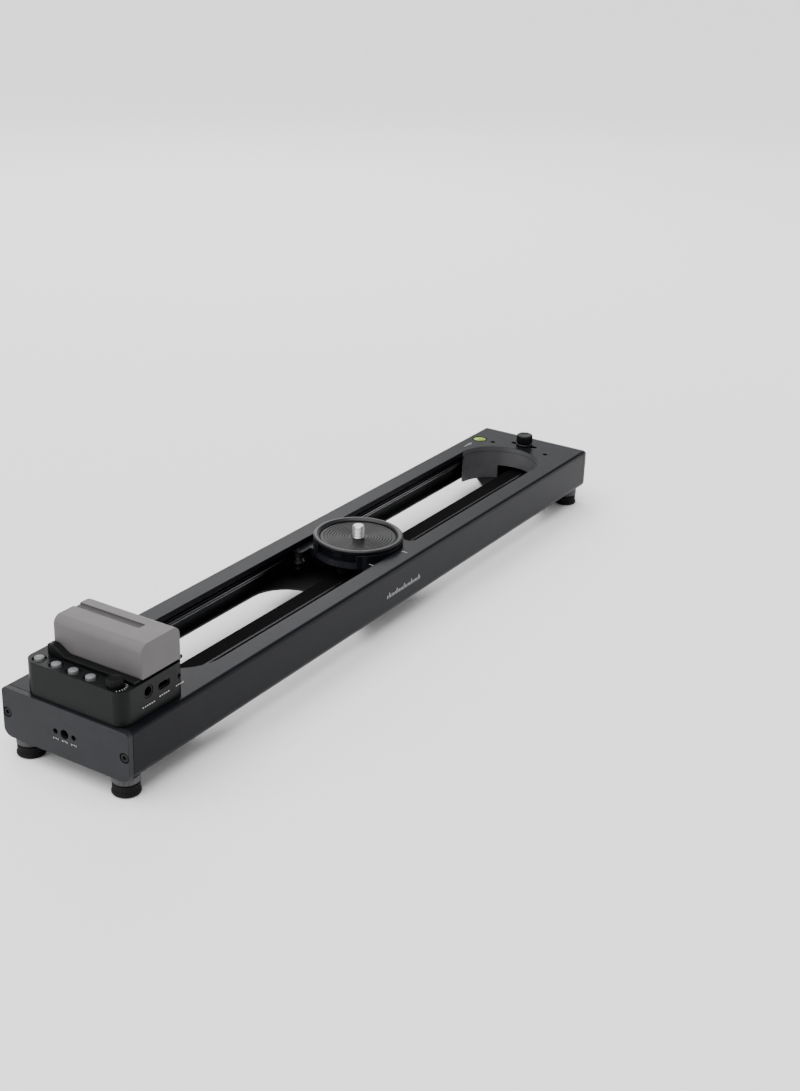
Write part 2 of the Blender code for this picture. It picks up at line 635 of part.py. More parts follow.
def build_belt_clamp():
    """A forked block under the carriage that grips the belt's inner run."""
    middle = PULLEY_Y + BELT_PITCH_RADIUS
    slot = BELT_THICKNESS / 2 + GAP
    low = 5.6 * MM
    section = [(middle - 4 * MM, low), (middle - slot, low), (middle - slot, BELT_TOP + 0.4 * MM),
               (middle + slot, BELT_TOP + 0.4 * MM), (middle + slot, low), (middle + 2.4 * MM, low),
               (middle + 2.4 * MM, 22.0 * MM), (middle - 4 * MM, 22.0 * MM)]
    clamp = lengthwise("belt_clamp", [section], CARRIAGE_X + 23 * MM, CARRIAGE_X + 35 * MM)
    finished(clamp, "plastic")


# Belt drive

def build_drive():
    inner = BELT_PITCH_RADIUS - BELT_THICKNESS / 2
    outer = BELT_PITCH_RADIUS + BELT_THICKNESS / 2
    loop = [stadium(DRIVE_PULLEY_X, IDLER_PULLEY_X, PULLEY_Y, outer, 12),
            stadium(DRIVE_PULLEY_X, IDLER_PULLEY_X, PULLEY_Y, inner, 12)]
    finished(upright("drive_belt", loop, BELT_BOTTOM, BELT_TOP), "belt")

    drum = inner - GAP
    flange = 7.2 * MM
    low = 5.1 * MM
    high = 12.9 * MM
    flanges = [(flange, high), (flange, BELT_TOP + GAP), (drum, BELT_TOP + GAP),
               (drum, BELT_BOTTOM - GAP), (flange, BELT_BOTTOM - GAP), (flange, low)]
    drive = [(0, 22 * MM), (1.5 * MM, 22 * MM), (1.5 * MM, high)] + flanges + [(0, low)]
    origin = (along(DRIVE_PULLEY_X), PULLEY_Y, above(BELT_BOTTOM))
    finished(turned("drive_pulley", drive, DRIVE_PULLEY_X, PULLEY_Y, 24), "steel", origin)
    idler = [(1.8 * MM, high)] + flanges + [(1.8 * MM, low), (1.8 * MM, high)]
    origin = (along(IDLER_PULLEY_X), PULLEY_Y, above(BELT_BOTTOM))
    finished(turned("idler_pulley", idler, IDLER_PULLEY_X, PULLEY_Y, 24), "steel", origin)
    axle = [(0, DECK_UNDERSIDE - GAP), (3 * MM, DECK_UNDERSIDE - GAP), (3 * MM, high + 0.5 * MM),
            (1.5 * MM, high + 0.5 * MM), (1.5 * MM, low), (0, low)]
    finished(turned("idler_axle", axle, IDLER_PULLEY_X, PULLEY_Y, 16), "steel")

    shaft = 1.8 * MM
    motor = [(0, 43 * MM), (MOTOR_RADIUS - 1 * MM, 43 * MM), (MOTOR_RADIUS, 42 * MM),
             (MOTOR_RADIUS, 29.5 * MM), (15 * MM, 29.5 * MM), (15 * MM, 27 * MM),
             (MOTOR_RADIUS, 27 * MM), (MOTOR_RADIUS, 15 * MM), (shaft, 15 * MM),
             (shaft, 22.6 * MM), (0, 22.6 * MM)]
    finished(turned("gear_motor", motor, DRIVE_PULLEY_X, PULLEY_Y, 32), "dark_steel")


# Control box

def build_control_box():
    """A plastic shell, open below, with button wells, a dial hole and three sockets."""
    bottom = BODY_HEIGHT + GAP
    outline = rounded(BOX_NEAR, BOX_FRONT, BOX_FAR, BOX_REAR, [BOX_CORNER] * 4, 8)
    box = upright("control_box", [outline], bottom, BOX_TOP)
    inside = rounded(BOX_NEAR + BOX_WALL, BOX_FRONT + BOX_WALL, BOX_FAR - BOX_WALL,
                     BOX_REAR - BOX_WALL, [BOX_CORNER - BOX_WALL] * 4, 6)
    cut(box, upright("box_cavity", [inside], bottom - 1 * MM, BOX_TOP - BOX_WALL))
    wells = [circle(BUTTON_X, y, WELL_RADIUS, 24) for y in BUTTON_YS]
    cut(box, upright("button_wells", wells, BOX_TOP - 1.0 * MM, BOX_TOP + 1 * MM))
    shafts = [circle(BUTTON_X, y, BUTTON_RADIUS + GAP, 20) for y in BUTTON_YS]
    shafts.append(circle(DIAL_X, DIAL_Y, 3.2 * MM, 16))
    cut(box, upright("control_holes", shafts, BOX_TOP - 4 * MM, BOX_TOP + 2 * MM))
    sockets = [circle(DC_SOCKET[1], DC_SOCKET[0], 4.3 * MM, 24), usb_outline(0.3 * MM),
               circle(AUX_SOCKET[1], AUX_SOCKET[0], 2.2 * MM, 16)]
    cut(box, crosswise("socket_holes", sockets, BOX_FRONT - 1 * MM, BOX_FRONT + 4 * MM))
    finished(box, "plastic")


def usb_outline(grow):
    """The rounded slot of the USB socket, in (height, distance)."""
    distance, height = USB_SOCKET
    half_long = 5.0 * MM + grow
    half_short = 2.1 * MM + grow
    return rounded(height - half_short, distance - half_long, height + half_short,
                   distance + half_long, [1.9 * MM] * 4, 4)


def build_sockets():
    front = BOX_FRONT + GAP
    x, height = DC_SOCKET
    barrel = [(0, front + 6 * MM), (3.1 * MM, front + 6 * MM), (3.1 * MM, front), (4 * MM, front),
              (4 * MM, front + 9 * MM), (0, front + 9 * MM)]
    finished(turned("dc_socket", barrel[::-1], x, 0, 24, "Y", height), "dark_steel")
    usb = crosswise("usb_socket", [usb_outline(0)], front + 0.6 * MM, front + 7 * MM)
    x, height = USB_SOCKET
    mouth = rounded(height - 1.6 * MM, x - 4.5 * MM, height + 1.6 * MM, x + 4.5 * MM,
                    [1.5 * MM] * 4, 4)
    cut(usb, crosswise("usb_mouth", [mouth], front - 1 * MM, front + 5 * MM))
    finished(usb, "steel")
    x, height = AUX_SOCKET
    jack = [(0, front + 3 * MM), (1.25 * MM, front + 3 * MM), (1.25 * MM, front),
            (1.9 * MM, front), (1.9 * MM, front + 8 * MM), (0, front + 8 * MM)]
    finished(turned("aux_socket", jack[::-1], x, 0, 16, "Y", height), "dark_steel")


def build_controls():
    """Four sprung buttons and the speed dial, on the circuit board."""
    under = BOX_TOP - BOX_WALL
    crown = BOX_TOP + BUTTON_RISE
    cap = [(0, crown), (BUTTON_RADIUS - 0.8 * MM, crown - 0.3 * MM),
           (BUTTON_RADIUS, crown - 1 * MM), (BUTTON_RADIUS, under - 0.4 * MM),
           (3.7 * MM, under - 0.4 * MM), (3.7 * MM, under - 1.2 * MM), (1.5 * MM, under - 1.2 * MM),
           (1.5 * MM, 49.2 * MM), (0, 49.2 * MM)]
    for number, y in enumerate(BUTTON_YS, 1):
        origin = (along(BUTTON_X), y, above(BOX_TOP))
        finished(turned(f"push_button_{number}", cap, BUTTON_X, y, 20), "button", origin)
    low = BOX_TOP + GAP
    dial = [(0, DIAL_TOP), (DIAL_RADIUS - 0.6 * MM, DIAL_TOP), (DIAL_RADIUS, DIAL_TOP - 0.6 * MM),
            (DIAL_RADIUS, low), (2.9 * MM, low), (2.9 * MM, 49.2 * MM), (0, 49.2 * MM)]
    origin = (along(DIAL_X), DIAL_Y, above(BOX_TOP))
    finished(turned("speed_dial", dial, DIAL_X, DIAL_Y, 28), "plastic", origin)
    outline = rounded(5.5 * MM, -35.5 * MM, 56 * MM, 29 * MM, [4 * MM] * 4, 3)
    finished(upright("circuit_board", [outline], 44.6 * MM, 46.2 * MM), "board")


def build_battery():
    """The shoe with its two rails, the contacts, and the pack that slides off to the front."""
    front = -44 * MM
    low = BOX_TOP + GAP
    plate_top = low + 1.0 * MM
    base = [(SHOE_NEAR, front), (BOX_FAR - 1 * MM, front), (BOX_FAR - 1 * MM, BATTERY_REAR),
            (SHOE_NEAR, BATTERY_REAR)]
    shoe = upright("battery_shoe", [base], low, plate_top)
    step = plate_top - 0.3 * MM
    profile = [(front, step), (BATTERY_REAR, step), (BATTERY_REAR, 65.1 * MM),
               (19.5 * MM, 65.1 * MM), (11 * MM, 60 * MM), (front, 60 * MM)]
    near_rail = lengthwise("near_rail", [profile], SHOE_NEAR, BATTERY_NEAR - 0.4 * MM)
    far_rail = lengthwise("far_rail", [profile], BATTERY_FAR + 0.4 * MM, BOX_FAR - 1 * MM)
    join(shoe, near_rail)
    join(shoe, far_rail)
    relief = [circle(DIAL_X, DIAL_Y, DIAL_RADIUS + 1 * MM)]
    cut(shoe, upright("dial_relief", relief, BOX_TOP, BATTERY_FOOT + 2 * MM))
    finished(shoe, "plastic")

    base_low = (30 * MM, BATTERY_REAR - 7 * MM, plate_top + GAP)
    base_high = (46 * MM, BATTERY_REAR - 3 * MM, plate_top + 1.2 * MM)
    contacts = block("battery_contacts", base_low, base_high)
    for index, x in enumerate((33 * MM, 38 * MM, 43 * MM)):
        blade = block(f"blade_{index}", (x - 0.5 * MM, BATTERY_REAR - 6 * MM, plate_top + 1 * MM),
                      (x + 0.5 * MM, BATTERY_REAR - 4 * MM, plate_top + 4 * MM))
        join(contacts, blade)
    finished(contacts, "brass")

    section = rounded(BATTERY_FOOT, BATTERY_NEAR, BATTERY_TOP, BATTERY_FAR,
                      (1 * MM, 5.5 * MM, 5.5 * MM, 1 * MM), 6)
    pack = crosswise("battery_pack", [section], BATTERY_FRONT, BATTERY_REAR)
    notch = block("contact_notch", (29 * MM, BATTERY_REAR - 22 * MM, BATTERY_FOOT - 1 * MM),
                  (47 * MM, BATTERY_REAR + 1 * MM, BATTERY_FOOT + 4.5 * MM))
    cut(pack, notch)
    groove = block("pack_groove", (BATTERY_GROOVE[0], BATTERY_GROOVE_END, BATTERY_TOP - 1.2 * MM),
                   (BATTERY_GROOVE[1], BATTERY_REAR + 1 * MM, BATTERY_TOP + 1 * MM))
    cut(pack, groove)
    finished(pack, "battery")


# Level and feet

def build_level():
    cup = ring_profile(LEVEL_RADIUS, 5.7 * MM, 30.0 * MM, BODY_HEIGHT + 0.3 * MM, 0.2 * MM)
    finished(turned("level_cup", cup, DECK_HOLE_X, LEVEL_Y, 28), "plastic")
    vial = [(0, 34.5 * MM), (3 * MM, 34.3 * MM), (5.4 * MM, 33.7 * MM), (5.4 * MM, 30.2 * MM),
            (0, 30.2 * MM)]
    finished(turned("level_vial", vial, DECK_HOLE_X, LEVEL_Y, 24), "vial")


def foot_places():
    """Every foot's name, with its distance from the near end and its y."""
    places = {}
    for end, x in (("near", FOOT_INSET), ("far", BODY_LENGTH - FOOT_INSET)):
        for side, y in (("front", -FOOT_Y), ("rear", FOOT_Y)):
            places[f"{end}_{side}"] = (x, y)
    return places


def build_feet():
    """Each foot is a rubber pad on a stud that screws up through a knurled collar."""
    collar = ring_profile(8.9 * MM, 3.4 * MM, -5.6 * MM, -GAP, 0.6 * MM)
    pad = [(0, 11 * MM), (2.6 * MM, 11 * MM), (3 * MM, 10.6 * MM), (3 * MM, -5.9 * MM),
           (8.2 * MM, -5.9 * MM), (8.6 * MM, -6.3 * MM), (8.7 * MM, -10.5 * MM),
           (FOOT_RADIUS, -11.6 * MM), (FOOT_RADIUS, -12.8 * MM), (8.5 * MM, -FOOT_HEIGHT),
           (0, -FOOT_HEIGHT)]
    for name, (x, y) in foot_places().items():
        origin = (along(x), y, above(0))
        finished(turned(f"foot_collar_{name}", collar, x, y, 28), "steel", origin)
        finished(turned(f"foot_pad_{name}", pad, x, y, 28), "rubber", origin)


def main():
    clear_scene()
    build_housing()
    build_floor()
    build_end_plates()
    build_liners()
    build_guide_rods()
    build_guide_bar()
    build_carriage_plate()
    build_rollers()
    build_turntable()
    build_belt_clamp()
    build_drive()
    build_control_box()
    build_sockets()
    build_controls()
    build_battery()
    build_level()
    build_feet()


main()
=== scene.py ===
"""The finished looks of a motorised camera slider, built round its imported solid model.

The slider lies along X with its control box at the -X end, its sockets at the front (-Y) and its feet
on the ground at Z = 0. Each sub-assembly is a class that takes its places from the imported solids,
works its surfaces out as arrays and dresses them in their finishes. Lengths are in metres.
"""

import logging
import math
from dataclasses import dataclass, field
from enum import Enum

import bmesh
import bpy
import numpy as np
from mathutils import Matrix, Vector


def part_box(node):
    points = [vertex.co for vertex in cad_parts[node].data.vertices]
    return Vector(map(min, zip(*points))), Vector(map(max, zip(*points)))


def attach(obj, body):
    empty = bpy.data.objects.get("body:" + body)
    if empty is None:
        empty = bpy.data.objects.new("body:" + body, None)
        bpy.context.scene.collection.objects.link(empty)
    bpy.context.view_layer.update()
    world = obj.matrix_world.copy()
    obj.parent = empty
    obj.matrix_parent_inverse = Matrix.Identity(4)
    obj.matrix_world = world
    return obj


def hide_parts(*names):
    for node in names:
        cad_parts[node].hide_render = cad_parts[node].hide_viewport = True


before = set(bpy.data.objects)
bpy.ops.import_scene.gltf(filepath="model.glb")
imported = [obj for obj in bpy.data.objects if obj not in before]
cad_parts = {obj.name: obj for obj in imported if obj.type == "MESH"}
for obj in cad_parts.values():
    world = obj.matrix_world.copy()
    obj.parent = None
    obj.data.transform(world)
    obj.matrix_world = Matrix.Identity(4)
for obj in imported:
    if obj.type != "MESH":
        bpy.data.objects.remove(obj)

LOG = logging.getLogger("camera_slider")
Array = np.ndarray
MM = 0.001
PLACES = ("near_front", "near_rear", "far_front", "far_rear")


class Grain(Enum):
    """The direction in which a finish's fine texture is drawn out."""

    EVEN = (1.0, 1.0, 1.0)
    ALONG = (0.02, 1.0, 1.0)


# Finishes


@dataclass(frozen=True)
class Finish:
    """A surface finish with fine grain, uneven gloss and slight changes of tone.

    Attributes:
        name: Material name.
        tone: Linear base colour.
        roughness: Middle roughness.
        metallic: Metallic value.
        grain: Size of the fine texture.
        depth: Height of the fine texture.
        direction: How the fine texture is drawn out.
        mottle: Share by which the tone changes over the surface.
        haze: Amount by which the roughness changes over the surface.
        coat: Weight of a clear coat.
        shine: Specular level, 0.5 for a common plastic.
    """

    name: str
    tone: tuple[float, float, float]
    roughness: float
    metallic: float = 0.0
    grain: float = 0.35 * MM
    depth: float = 0.01 * MM
    direction: Grain = Grain.EVEN
    mottle: float = 0.1
    haze: float = 0.06
    coat: float = 0.0
    shine: float = 0.5

    def material(self) -> bpy.types.Material:
        """Return this finish's material, made when it is first asked for.

        Returns:
            The material, whose patterns follow Object coordinates.
        """
        if self.name in bpy.data.materials:
            return bpy.data.materials[self.name]
        made = bpy.data.materials.new(self.name)
        made.use_nodes = True
        tree = made.node_tree
        shader = tree.nodes["Principled BSDF"]
        shader.inputs["Metallic"].default_value = self.metallic
        shader.inputs["Coat Weight"].default_value = self.coat
        shader.inputs["Specular IOR Level"].default_value = self.shine
        place = tree.nodes.new("ShaderNodeTexCoord")
        self._tone(tree, shader, place)
        self._gloss(tree, shader, place)
        self._texture(tree, shader, place)
        return made

    def _noise(self, tree, place, size: float, detail: float, direction: Grain):
        """Return a noise node whose features are about the given size.

        Args:
            tree: Node tree of the material.
            place: Texture coordinate node.
            size: Feature size.
            detail: Number of octaves.
            direction: How the features are drawn out.
        """
        mapping = tree.nodes.new("ShaderNodeMapping")
        mapping.inputs["Scale"].default_value = direction.value
        noise = tree.nodes.new("ShaderNodeTexNoise")
        noise.inputs["Scale"].default_value = 1 / size
        noise.inputs["Detail"].default_value = detail
        tree.links.new(place.outputs["Object"], mapping.inputs["Vector"])
        tree.links.new(mapping.outputs["Vector"], noise.inputs["Vector"])
        return noise

    def _tone(self, tree, shader, place) -> None:
        """Let the base colour drift between a darker and a lighter tone."""
        noise = self._noise(tree, place, 14 * MM, 4, self.direction)
        ramp = tree.nodes.new("ShaderNodeValToRGB")
        ramp.color_ramp.elements[0].position = 0.3
        ramp.color_ramp.elements[1].position = 0.7
        for element, share in zip(ramp.color_ramp.elements, (1 - self.mottle, 1 + self.mottle)):
            element.color = (*(min(1.0, channel * share) for channel in self.tone), 1)
        tree.links.new(noise.outputs["Fac"], ramp.inputs["Fac"])
        tree.links.new(ramp.outputs["Color"], shader.inputs["Base Color"])

    def _gloss(self, tree, shader, place) -> None:
        """Let the roughness wander around its middle value."""
        noise = self._noise(tree, place, 5 * MM, 3, self.direction)
        spread = tree.nodes.new("ShaderNodeMapRange")
        spread.inputs["To Min"].default_value = max(0.03, self.roughness - self.haze)
        spread.inputs["To Max"].default_value = min(1.0, self.roughness + self.haze)
        tree.links.new(noise.outputs["Fac"], spread.inputs["Value"])
        tree.links.new(spread.outputs["Result"], shader.inputs["Roughness"])

    def _texture(self, tree, shader, place) -> None:
        """Raise the fine grain as a bump."""
        noise = self._noise(tree, place, self.grain, 2, self.direction)
        bump = tree.nodes.new("ShaderNodeBump")
        bump.inputs["Distance"].default_value = self.depth
        tree.links.new(noise.outputs["Fac"], bump.inputs["Height"])
        tree.links.new(bump.outputs["Normal"], shader.inputs["Normal"])


ANODISED = Finish("bead_blasted_anodised", (0.0052, 0.0055, 0.0074), 0.33, 0.0, 0.3 * MM, 0.015 * MM,
                  haze=0.03, shine=0.085)
SMOOTH_ANODISED = Finish("smooth_anodised", (0.0103, 0.0107, 0.0135), 0.42, 0.0, 0.5 * MM,
                         0.006 * MM, shine=0.19)
LIP_ANODISED = Finish("ring_lip_anodised", (0.011, 0.011, 0.0125), 0.32, 0.15, 0.4 * MM, 0.006 * MM,
                      shine=0.25)
LINER_GREY = Finish("grey_liner", (0.085, 0.085, 0.09), 0.4, 0.2, 0.5 * MM, 0.006 * MM)
COATED_SHEET = Finish("coated_sheet", (0.009, 0.009, 0.01), 0.4, 0.0, 0.4 * MM, 0.015 * MM,
                      shine=0.25)
BAR_BLACK = Finish("bar_black", (0.002, 0.002, 0.0023), 0.8, 0.0, 0.5 * MM, 0.03 * MM, shine=0.03)
# Bright metal for the guide bar's top chamfers: a painted highlight for the light caught along the bar's
# upper edges.
CHAMFER_PAINTED_HIGHLIGHT = Finish("chamfer_painted_highlight", (0.3, 0.3, 0.305), 0.3, 1.0, 0.25 * MM, 0.004 * MM,
                        Grain.ALONG)
ROD_DARK = Finish("dark_chromed_rod", (0.07, 0.07, 0.075), 0.22, 1.0, 0.25 * MM, 0.004 * MM,
                  Grain.ALONG)
TURNED_STEEL = Finish("turned_steel", (0.4, 0.4, 0.41), 0.3, 1.0, 0.2 * MM, 0.006 * MM)
COLLAR_STEEL = Finish("foot_collar_steel", (0.075, 0.075, 0.078), 0.4, 0.8, 0.3 * MM, 0.015 * MM)
BLACK_STEEL = Finish("blackened_steel", (0.0045, 0.0046, 0.0052), 0.36, 0.05, 0.3 * MM, 0.01 * MM,
                     shine=0.15)
SCREW_BLACK = Finish("black_oxide_screw", (0.006, 0.006, 0.0065), 0.4, 0.1, 0.3 * MM, 0.01 * MM,
                     shine=0.15)
BOX_PLASTIC = Finish("box_plastic", (0.0036, 0.0041, 0.0043), 0.4, 0.0, 0.35 * MM, 0.02 * MM,
                     shine=0.12)
SHOE_PLASTIC = Finish("shoe_plastic", (0.004, 0.0043, 0.0043), 0.42, 0.0, 0.4 * MM, 0.02 * MM,
                      shine=0.12)
KNOB_PLASTIC = Finish("dial_plastic", (0.003, 0.003, 0.0033), 0.4, 0.0, 0.4 * MM, 0.01 * MM,
                      shine=0.12)
BUTTON_GREY = Finish("button_grey", (0.11, 0.112, 0.117), 0.4, 0.0, 0.4 * MM, 0.01 * MM)
FOOT_RUBBER = Finish("foot_rubber", (0.004, 0.004, 0.0042), 0.7, 0.0, 0.5 * MM, 0.05 * MM, shine=0.15)
BELT_RUBBER = Finish("belt_rubber", (0.006, 0.006, 0.006), 0.7, 0.0, 0.4 * MM, 0.02 * MM, shine=0.15)
ROLLER_PLASTIC = Finish("roller_plastic", (0.008, 0.008, 0.009), 0.3, 0.0, 0.4 * MM, 0.01 * MM,
                        shine=0.4)
BATTERY_CASE = Finish("battery_case", (0.107, 0.1, 0.104), 0.45, 0.0, 0.3 * MM, 0.02 * MM,
                      mottle=0.04, shine=0.2)
BATTERY_GROOVE_DARKER = Finish("battery_groove_darker", (0.045, 0.042, 0.044), 0.55, 0.0, 0.3 * MM, 0.02 * MM,
                      mottle=0.04, shine=0.2)
BOARD_GREEN = Finish("solder_mask", (0.008, 0.07, 0.03), 0.4, 0.0, 0.8 * MM, 0.02 * MM, coat=0.4)
CONTACT_GOLD = Finish("plated_contact", (0.75, 0.52, 0.2), 0.22, 1.0, 0.3 * MM, 0.004 * MM)
SOCKET_DARK = Finish("socket_dark", (0.003, 0.003, 0.0033), 0.4, 0.0, 0.3 * MM, 0.01 * MM, shine=0.15)
SOCKET_SHELL = Finish("socket_shell", (0.03, 0.03, 0.031), 0.3, 1.0, 0.3 * MM, 0.004 * MM)
PRINT_WHITE = Finish("printed_white", (0.45, 0.45, 0.45), 0.55, 0.0, 0.2 * MM, 0.004 * MM,
                     mottle=0.04)
VIAL_LIME = Finish("level_vial_lime", (0.15, 0.28, 0.005), 0.2, 0.0, 3 * MM, 0.002 * MM, mottle=0.03,
                   haze=0.02, shine=0.3)
BUBBLE_PALE = Finish("level_bubble_pale", (0.26, 0.38, 0.04), 0.14, 0.0, 3 * MM, 0.002 * MM,
                     mottle=0.02, haze=0.02, shine=0.4)
FLOOR_PALE = Finish("pale_floor", (0.9, 0.9, 0.9), 0.8, 0.0, 40 * MM, 0.01 * MM, mottle=0.0)


# Surfaces


def softened(corners: Array, radius: Array | float, steps: int = 3, closed: bool = False) -> Array:
    """Round the corners of a flat line.

    At a corner P between the unit directions a and b to its neighbours, the arc's tangent points are
    P + t a and P + t b with t = r / tan(angle / 2), and its centre lies on their bisector. Points on
    the arc are the spherical blend of the two spokes.

    Args:
        corners: Points of the line, one row each.
        radius: Rounding radius, one value or one for each corner.
        steps: Pieces in each arc.
        closed: Whether the last point joins the first.

    Returns:
        Points of the rounded line. An open line keeps its ends.
    """
    line = np.asarray(corners, float)
    inner = line if closed else line[1:-1]
    before = np.roll(line, 1, 0) if closed else line[:-2]
    after = np.roll(line, -1, 0) if closed else line[2:]
    back, ahead = before - inner, after - inner
    long_back = np.linalg.norm(back, axis=1, keepdims=True)
    long_ahead = np.linalg.norm(ahead, axis=1, keepdims=True)
    back, ahead = back / long_back, ahead / long_ahead
    half = np.arccos(np.clip((back * ahead).sum(1, keepdims=True), -0.9999, 0.9999)) / 2
    reach = np.broadcast_to(np.asarray(radius, float).reshape(-1, 1), half.shape) / np.tan(half)
    reach = np.minimum(reach, 0.48 * np.minimum(long_back, long_ahead))
    bisector = back + ahead
    bisector /= np.linalg.norm(bisector, axis=1, keepdims=True)
    centre = inner + bisector * reach / np.cos(half)
    first, last = inner + back * reach - centre, inner + ahead * reach - centre
    sweep = np.pi - 2 * half
    share = np.linspace(0, 1, steps + 1)[None, :, None]
    sweep = sweep[:, None, :]
    arcs = (np.sin((1 - share) * sweep) * first[:, None] + np.sin(share * sweep) * last[:, None])
    arcs = (centre[:, None] + arcs / np.sin(sweep)).reshape(-1, line.shape[1])
    return arcs if closed else np.vstack([line[:1], arcs, line[-1:]])


def make_mesh(name: str, points: Array, faces: list) -> bpy.types.Mesh:
    """Put points and faces in a mesh, merge its doubles, face it outwards and shade it.

    Args:
        name: Name of the mesh.
        points: Vertex places, one row each.
        faces: Vertex numbers of each face.

    Returns:
        The finished mesh.
    """
    mesh = bpy.data.meshes.new(name)
    mesh.from_pydata(np.asarray(points, float).tolist(), [], faces)
    shape = bmesh.new()
    shape.from_mesh(mesh)
    bmesh.ops.remove_doubles(shape, verts=shape.verts, dist=0.0005 * MM)
    bmesh.ops.recalc_face_normals(shape, faces=shape.faces)
    shape.to_mesh(mesh)
    shape.free()
    mesh.shade_smooth()
    mesh.set_sharp_from_angle(angle=math.radians(42))
    return mesh


def grid_faces(rows: int, columns: int, wrap_rows: bool, wrap_columns: bool) -> list:
    """Quads over a grid of points: each joins (r, c), (r, c+1), (r+1, c+1) and (r+1, c).

    Args:
        rows: Number of rows.
        columns: Number of columns.
        wrap_rows: Whether the last row joins the first.
        wrap_columns: Whether the last column joins the first.

    Returns:
        Lists of four vertex numbers.
    """
    row = np.arange(rows if wrap_rows else rows - 1)[:, None]
    column = np.arange(columns if wrap_columns else columns - 1)[None, :]
    below, beside = (row + 1) % rows, (column + 1) % columns
    corners = (row * columns + column, row * columns + beside, below * columns + beside,
               below * columns + column)
    return np.stack(np.broadcast_arrays(*corners), -1).reshape(-1, 4).tolist()


def turned(name: str, profile: Array, centre: tuple[float, float], segments: int = 64,
           ridges: int = 0, depth: float = 0.0, band: tuple[float, float] = (0, 0),
           axis: int = 2, closed: bool = False) -> bpy.types.Mesh:
    """Turn a profile about an axis, with an optional band of ridges.

    A point of the profile (radius r, height h) becomes (r' cos a, r' sin a, h), where inside the band
    r' = r - depth (1 - |cos(ridges a / 2)|), so the ridges stand at even steps round the axis.

    Args:
        name: Name of the mesh.
        profile: Rows of (radius, height).
        centre: Place of the axis along the two other directions, in X, Y, Z order.
        segments: Steps round the axis.
        ridges: Number of ridges.
        depth: Depth of the grooves between them.
        band: Lowest and highest ridged height.
        axis: Number of the axis's direction.
        closed: Whether the profile is a loop that stays off the axis.

    Returns:
        The turned mesh.
    """
    profile = np.asarray(profile, float)
    angle = np.linspace(0, 2 * np.pi, segments, endpoint=False)[None, :]
    inside = ((profile[:, 1] > band[0]) & (profile[:, 1] < band[1]) & (profile[:, 0] > 0))[:, None]
    radius = profile[:, :1] - inside * depth * (1 - np.abs(np.cos(ridges * angle / 2)))
    height = np.broadcast_to(profile[:, 1:], radius.shape)
    others = [number for number in range(3) if number != axis]
    points = np.empty((*radius.shape, 3))
    points[..., others[0]] = centre[0] + radius * np.cos(angle)
    points[..., others[1]] = centre[1] + radius * np.sin(angle)
    points[..., axis] = height
    faces = grid_faces(len(profile), segments, closed, True)
    return make_mesh(name, points.reshape(-1, 3), faces)


def strokes(name: str, starts: Array, ends: Array, width: float, level: float, rise: float,
            axis: int = 2) -> bpy.types.Mesh:
    """Draw straight strokes as thin bars that stand on a flat face.

    A stroke from a to b with the unit normal n across it has the corners a - w n / 2, b - w n / 2,
    b + w n / 2 and a + w n / 2, once at the face's level and once at level + rise.

    Args:
        name: Name of the mesh.
        starts: Rows of the two coordinates across the axis at which the strokes start.
        ends: Rows at which they end.
        width: Width w of a stroke.
        level: Place of the face along the axis.
        rise: How far the strokes stand proud, negative on a face that looks down the axis.
        axis: Number of the face's direction.

    Returns:
        The mesh of all strokes.
    """
    starts, ends = np.asarray(starts, float), np.asarray(ends, float)
    along = ends - starts
    across = np.stack([-along[:, 1], along[:, 0]], 1)
    across *= width / 2 / np.linalg.norm(across, axis=1, keepdims=True)
    flat = np.stack([starts - across, ends - across, ends + across, starts + across], 1)
    others = [number for number in range(3) if number != axis]
    points = np.empty((len(starts), 2, 4, 3))
    points[..., others[0]] = flat[:, None, :, 0]
    points[..., others[1]] = flat[:, None, :, 1]
    points[..., axis] = np.array([level, level + rise])[None, :, None]
    cube = np.array([[0, 1, 2, 3], [4, 5, 6, 7], [0, 1, 5, 4], [1, 2, 6, 5], [2, 3, 7, 6],
                     [3, 0, 4, 7]])
    faces = (cube[None] + 8 * np.arange(len(starts))[:, None, None]).reshape(-1, 4)
    return make_mesh(name, points.reshape(-1, 3), faces.tolist())


def span(node: str) -> tuple[Array, Array]:
    """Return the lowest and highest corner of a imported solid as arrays."""
    low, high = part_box(node)
    return np.array(low), np.array(high)


def refined_copy(node: str, edge: float) -> bpy.types.Mesh:
    """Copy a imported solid, merge its loose triangles and round its edges.

    Args:
        node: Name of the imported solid.
        edge: Width of the rounding. Faces that meet at more than 40 degrees get it.

    Returns:
        The rounded mesh.
    """
    shape = bmesh.new()
    shape.from_mesh(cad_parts[node].data)
    bmesh.ops.remove_doubles(shape, verts=shape.verts, dist=0.002 * MM)
    bmesh.ops.dissolve_limit(shape, angle_limit=math.radians(0.4), verts=shape.verts,
                             edges=shape.edges)
    mesh = bpy.data.meshes.new(f"{node}_look")
    shape.to_mesh(mesh)
    shape.free()
    guide = bpy.data.objects.new(f"{node}_guide", mesh)
    bpy.context.scene.collection.objects.link(guide)
    bevel = guide.modifiers.new("edges", "BEVEL")
    bevel.width = edge
    bevel.segments = 2
    bevel.limit_method = "ANGLE"
    bevel.angle_limit = math.radians(40)
    bevel.miter_outer = "MITER_ARC"
    bevel.harden_normals = False
    weighted = guide.modifiers.new("shading", "WEIGHTED_NORMAL")
    weighted.keep_sharp = True
    mesh.shade_smooth()
    mesh.set_sharp_from_angle(angle=math.radians(60))
    ready = guide.evaluated_get(bpy.context.evaluated_depsgraph_get())
    result = bpy.data.meshes.new_from_object(ready)
    result.name = f"{node}_look"
    bpy.data.objects.remove(guide)
    return result


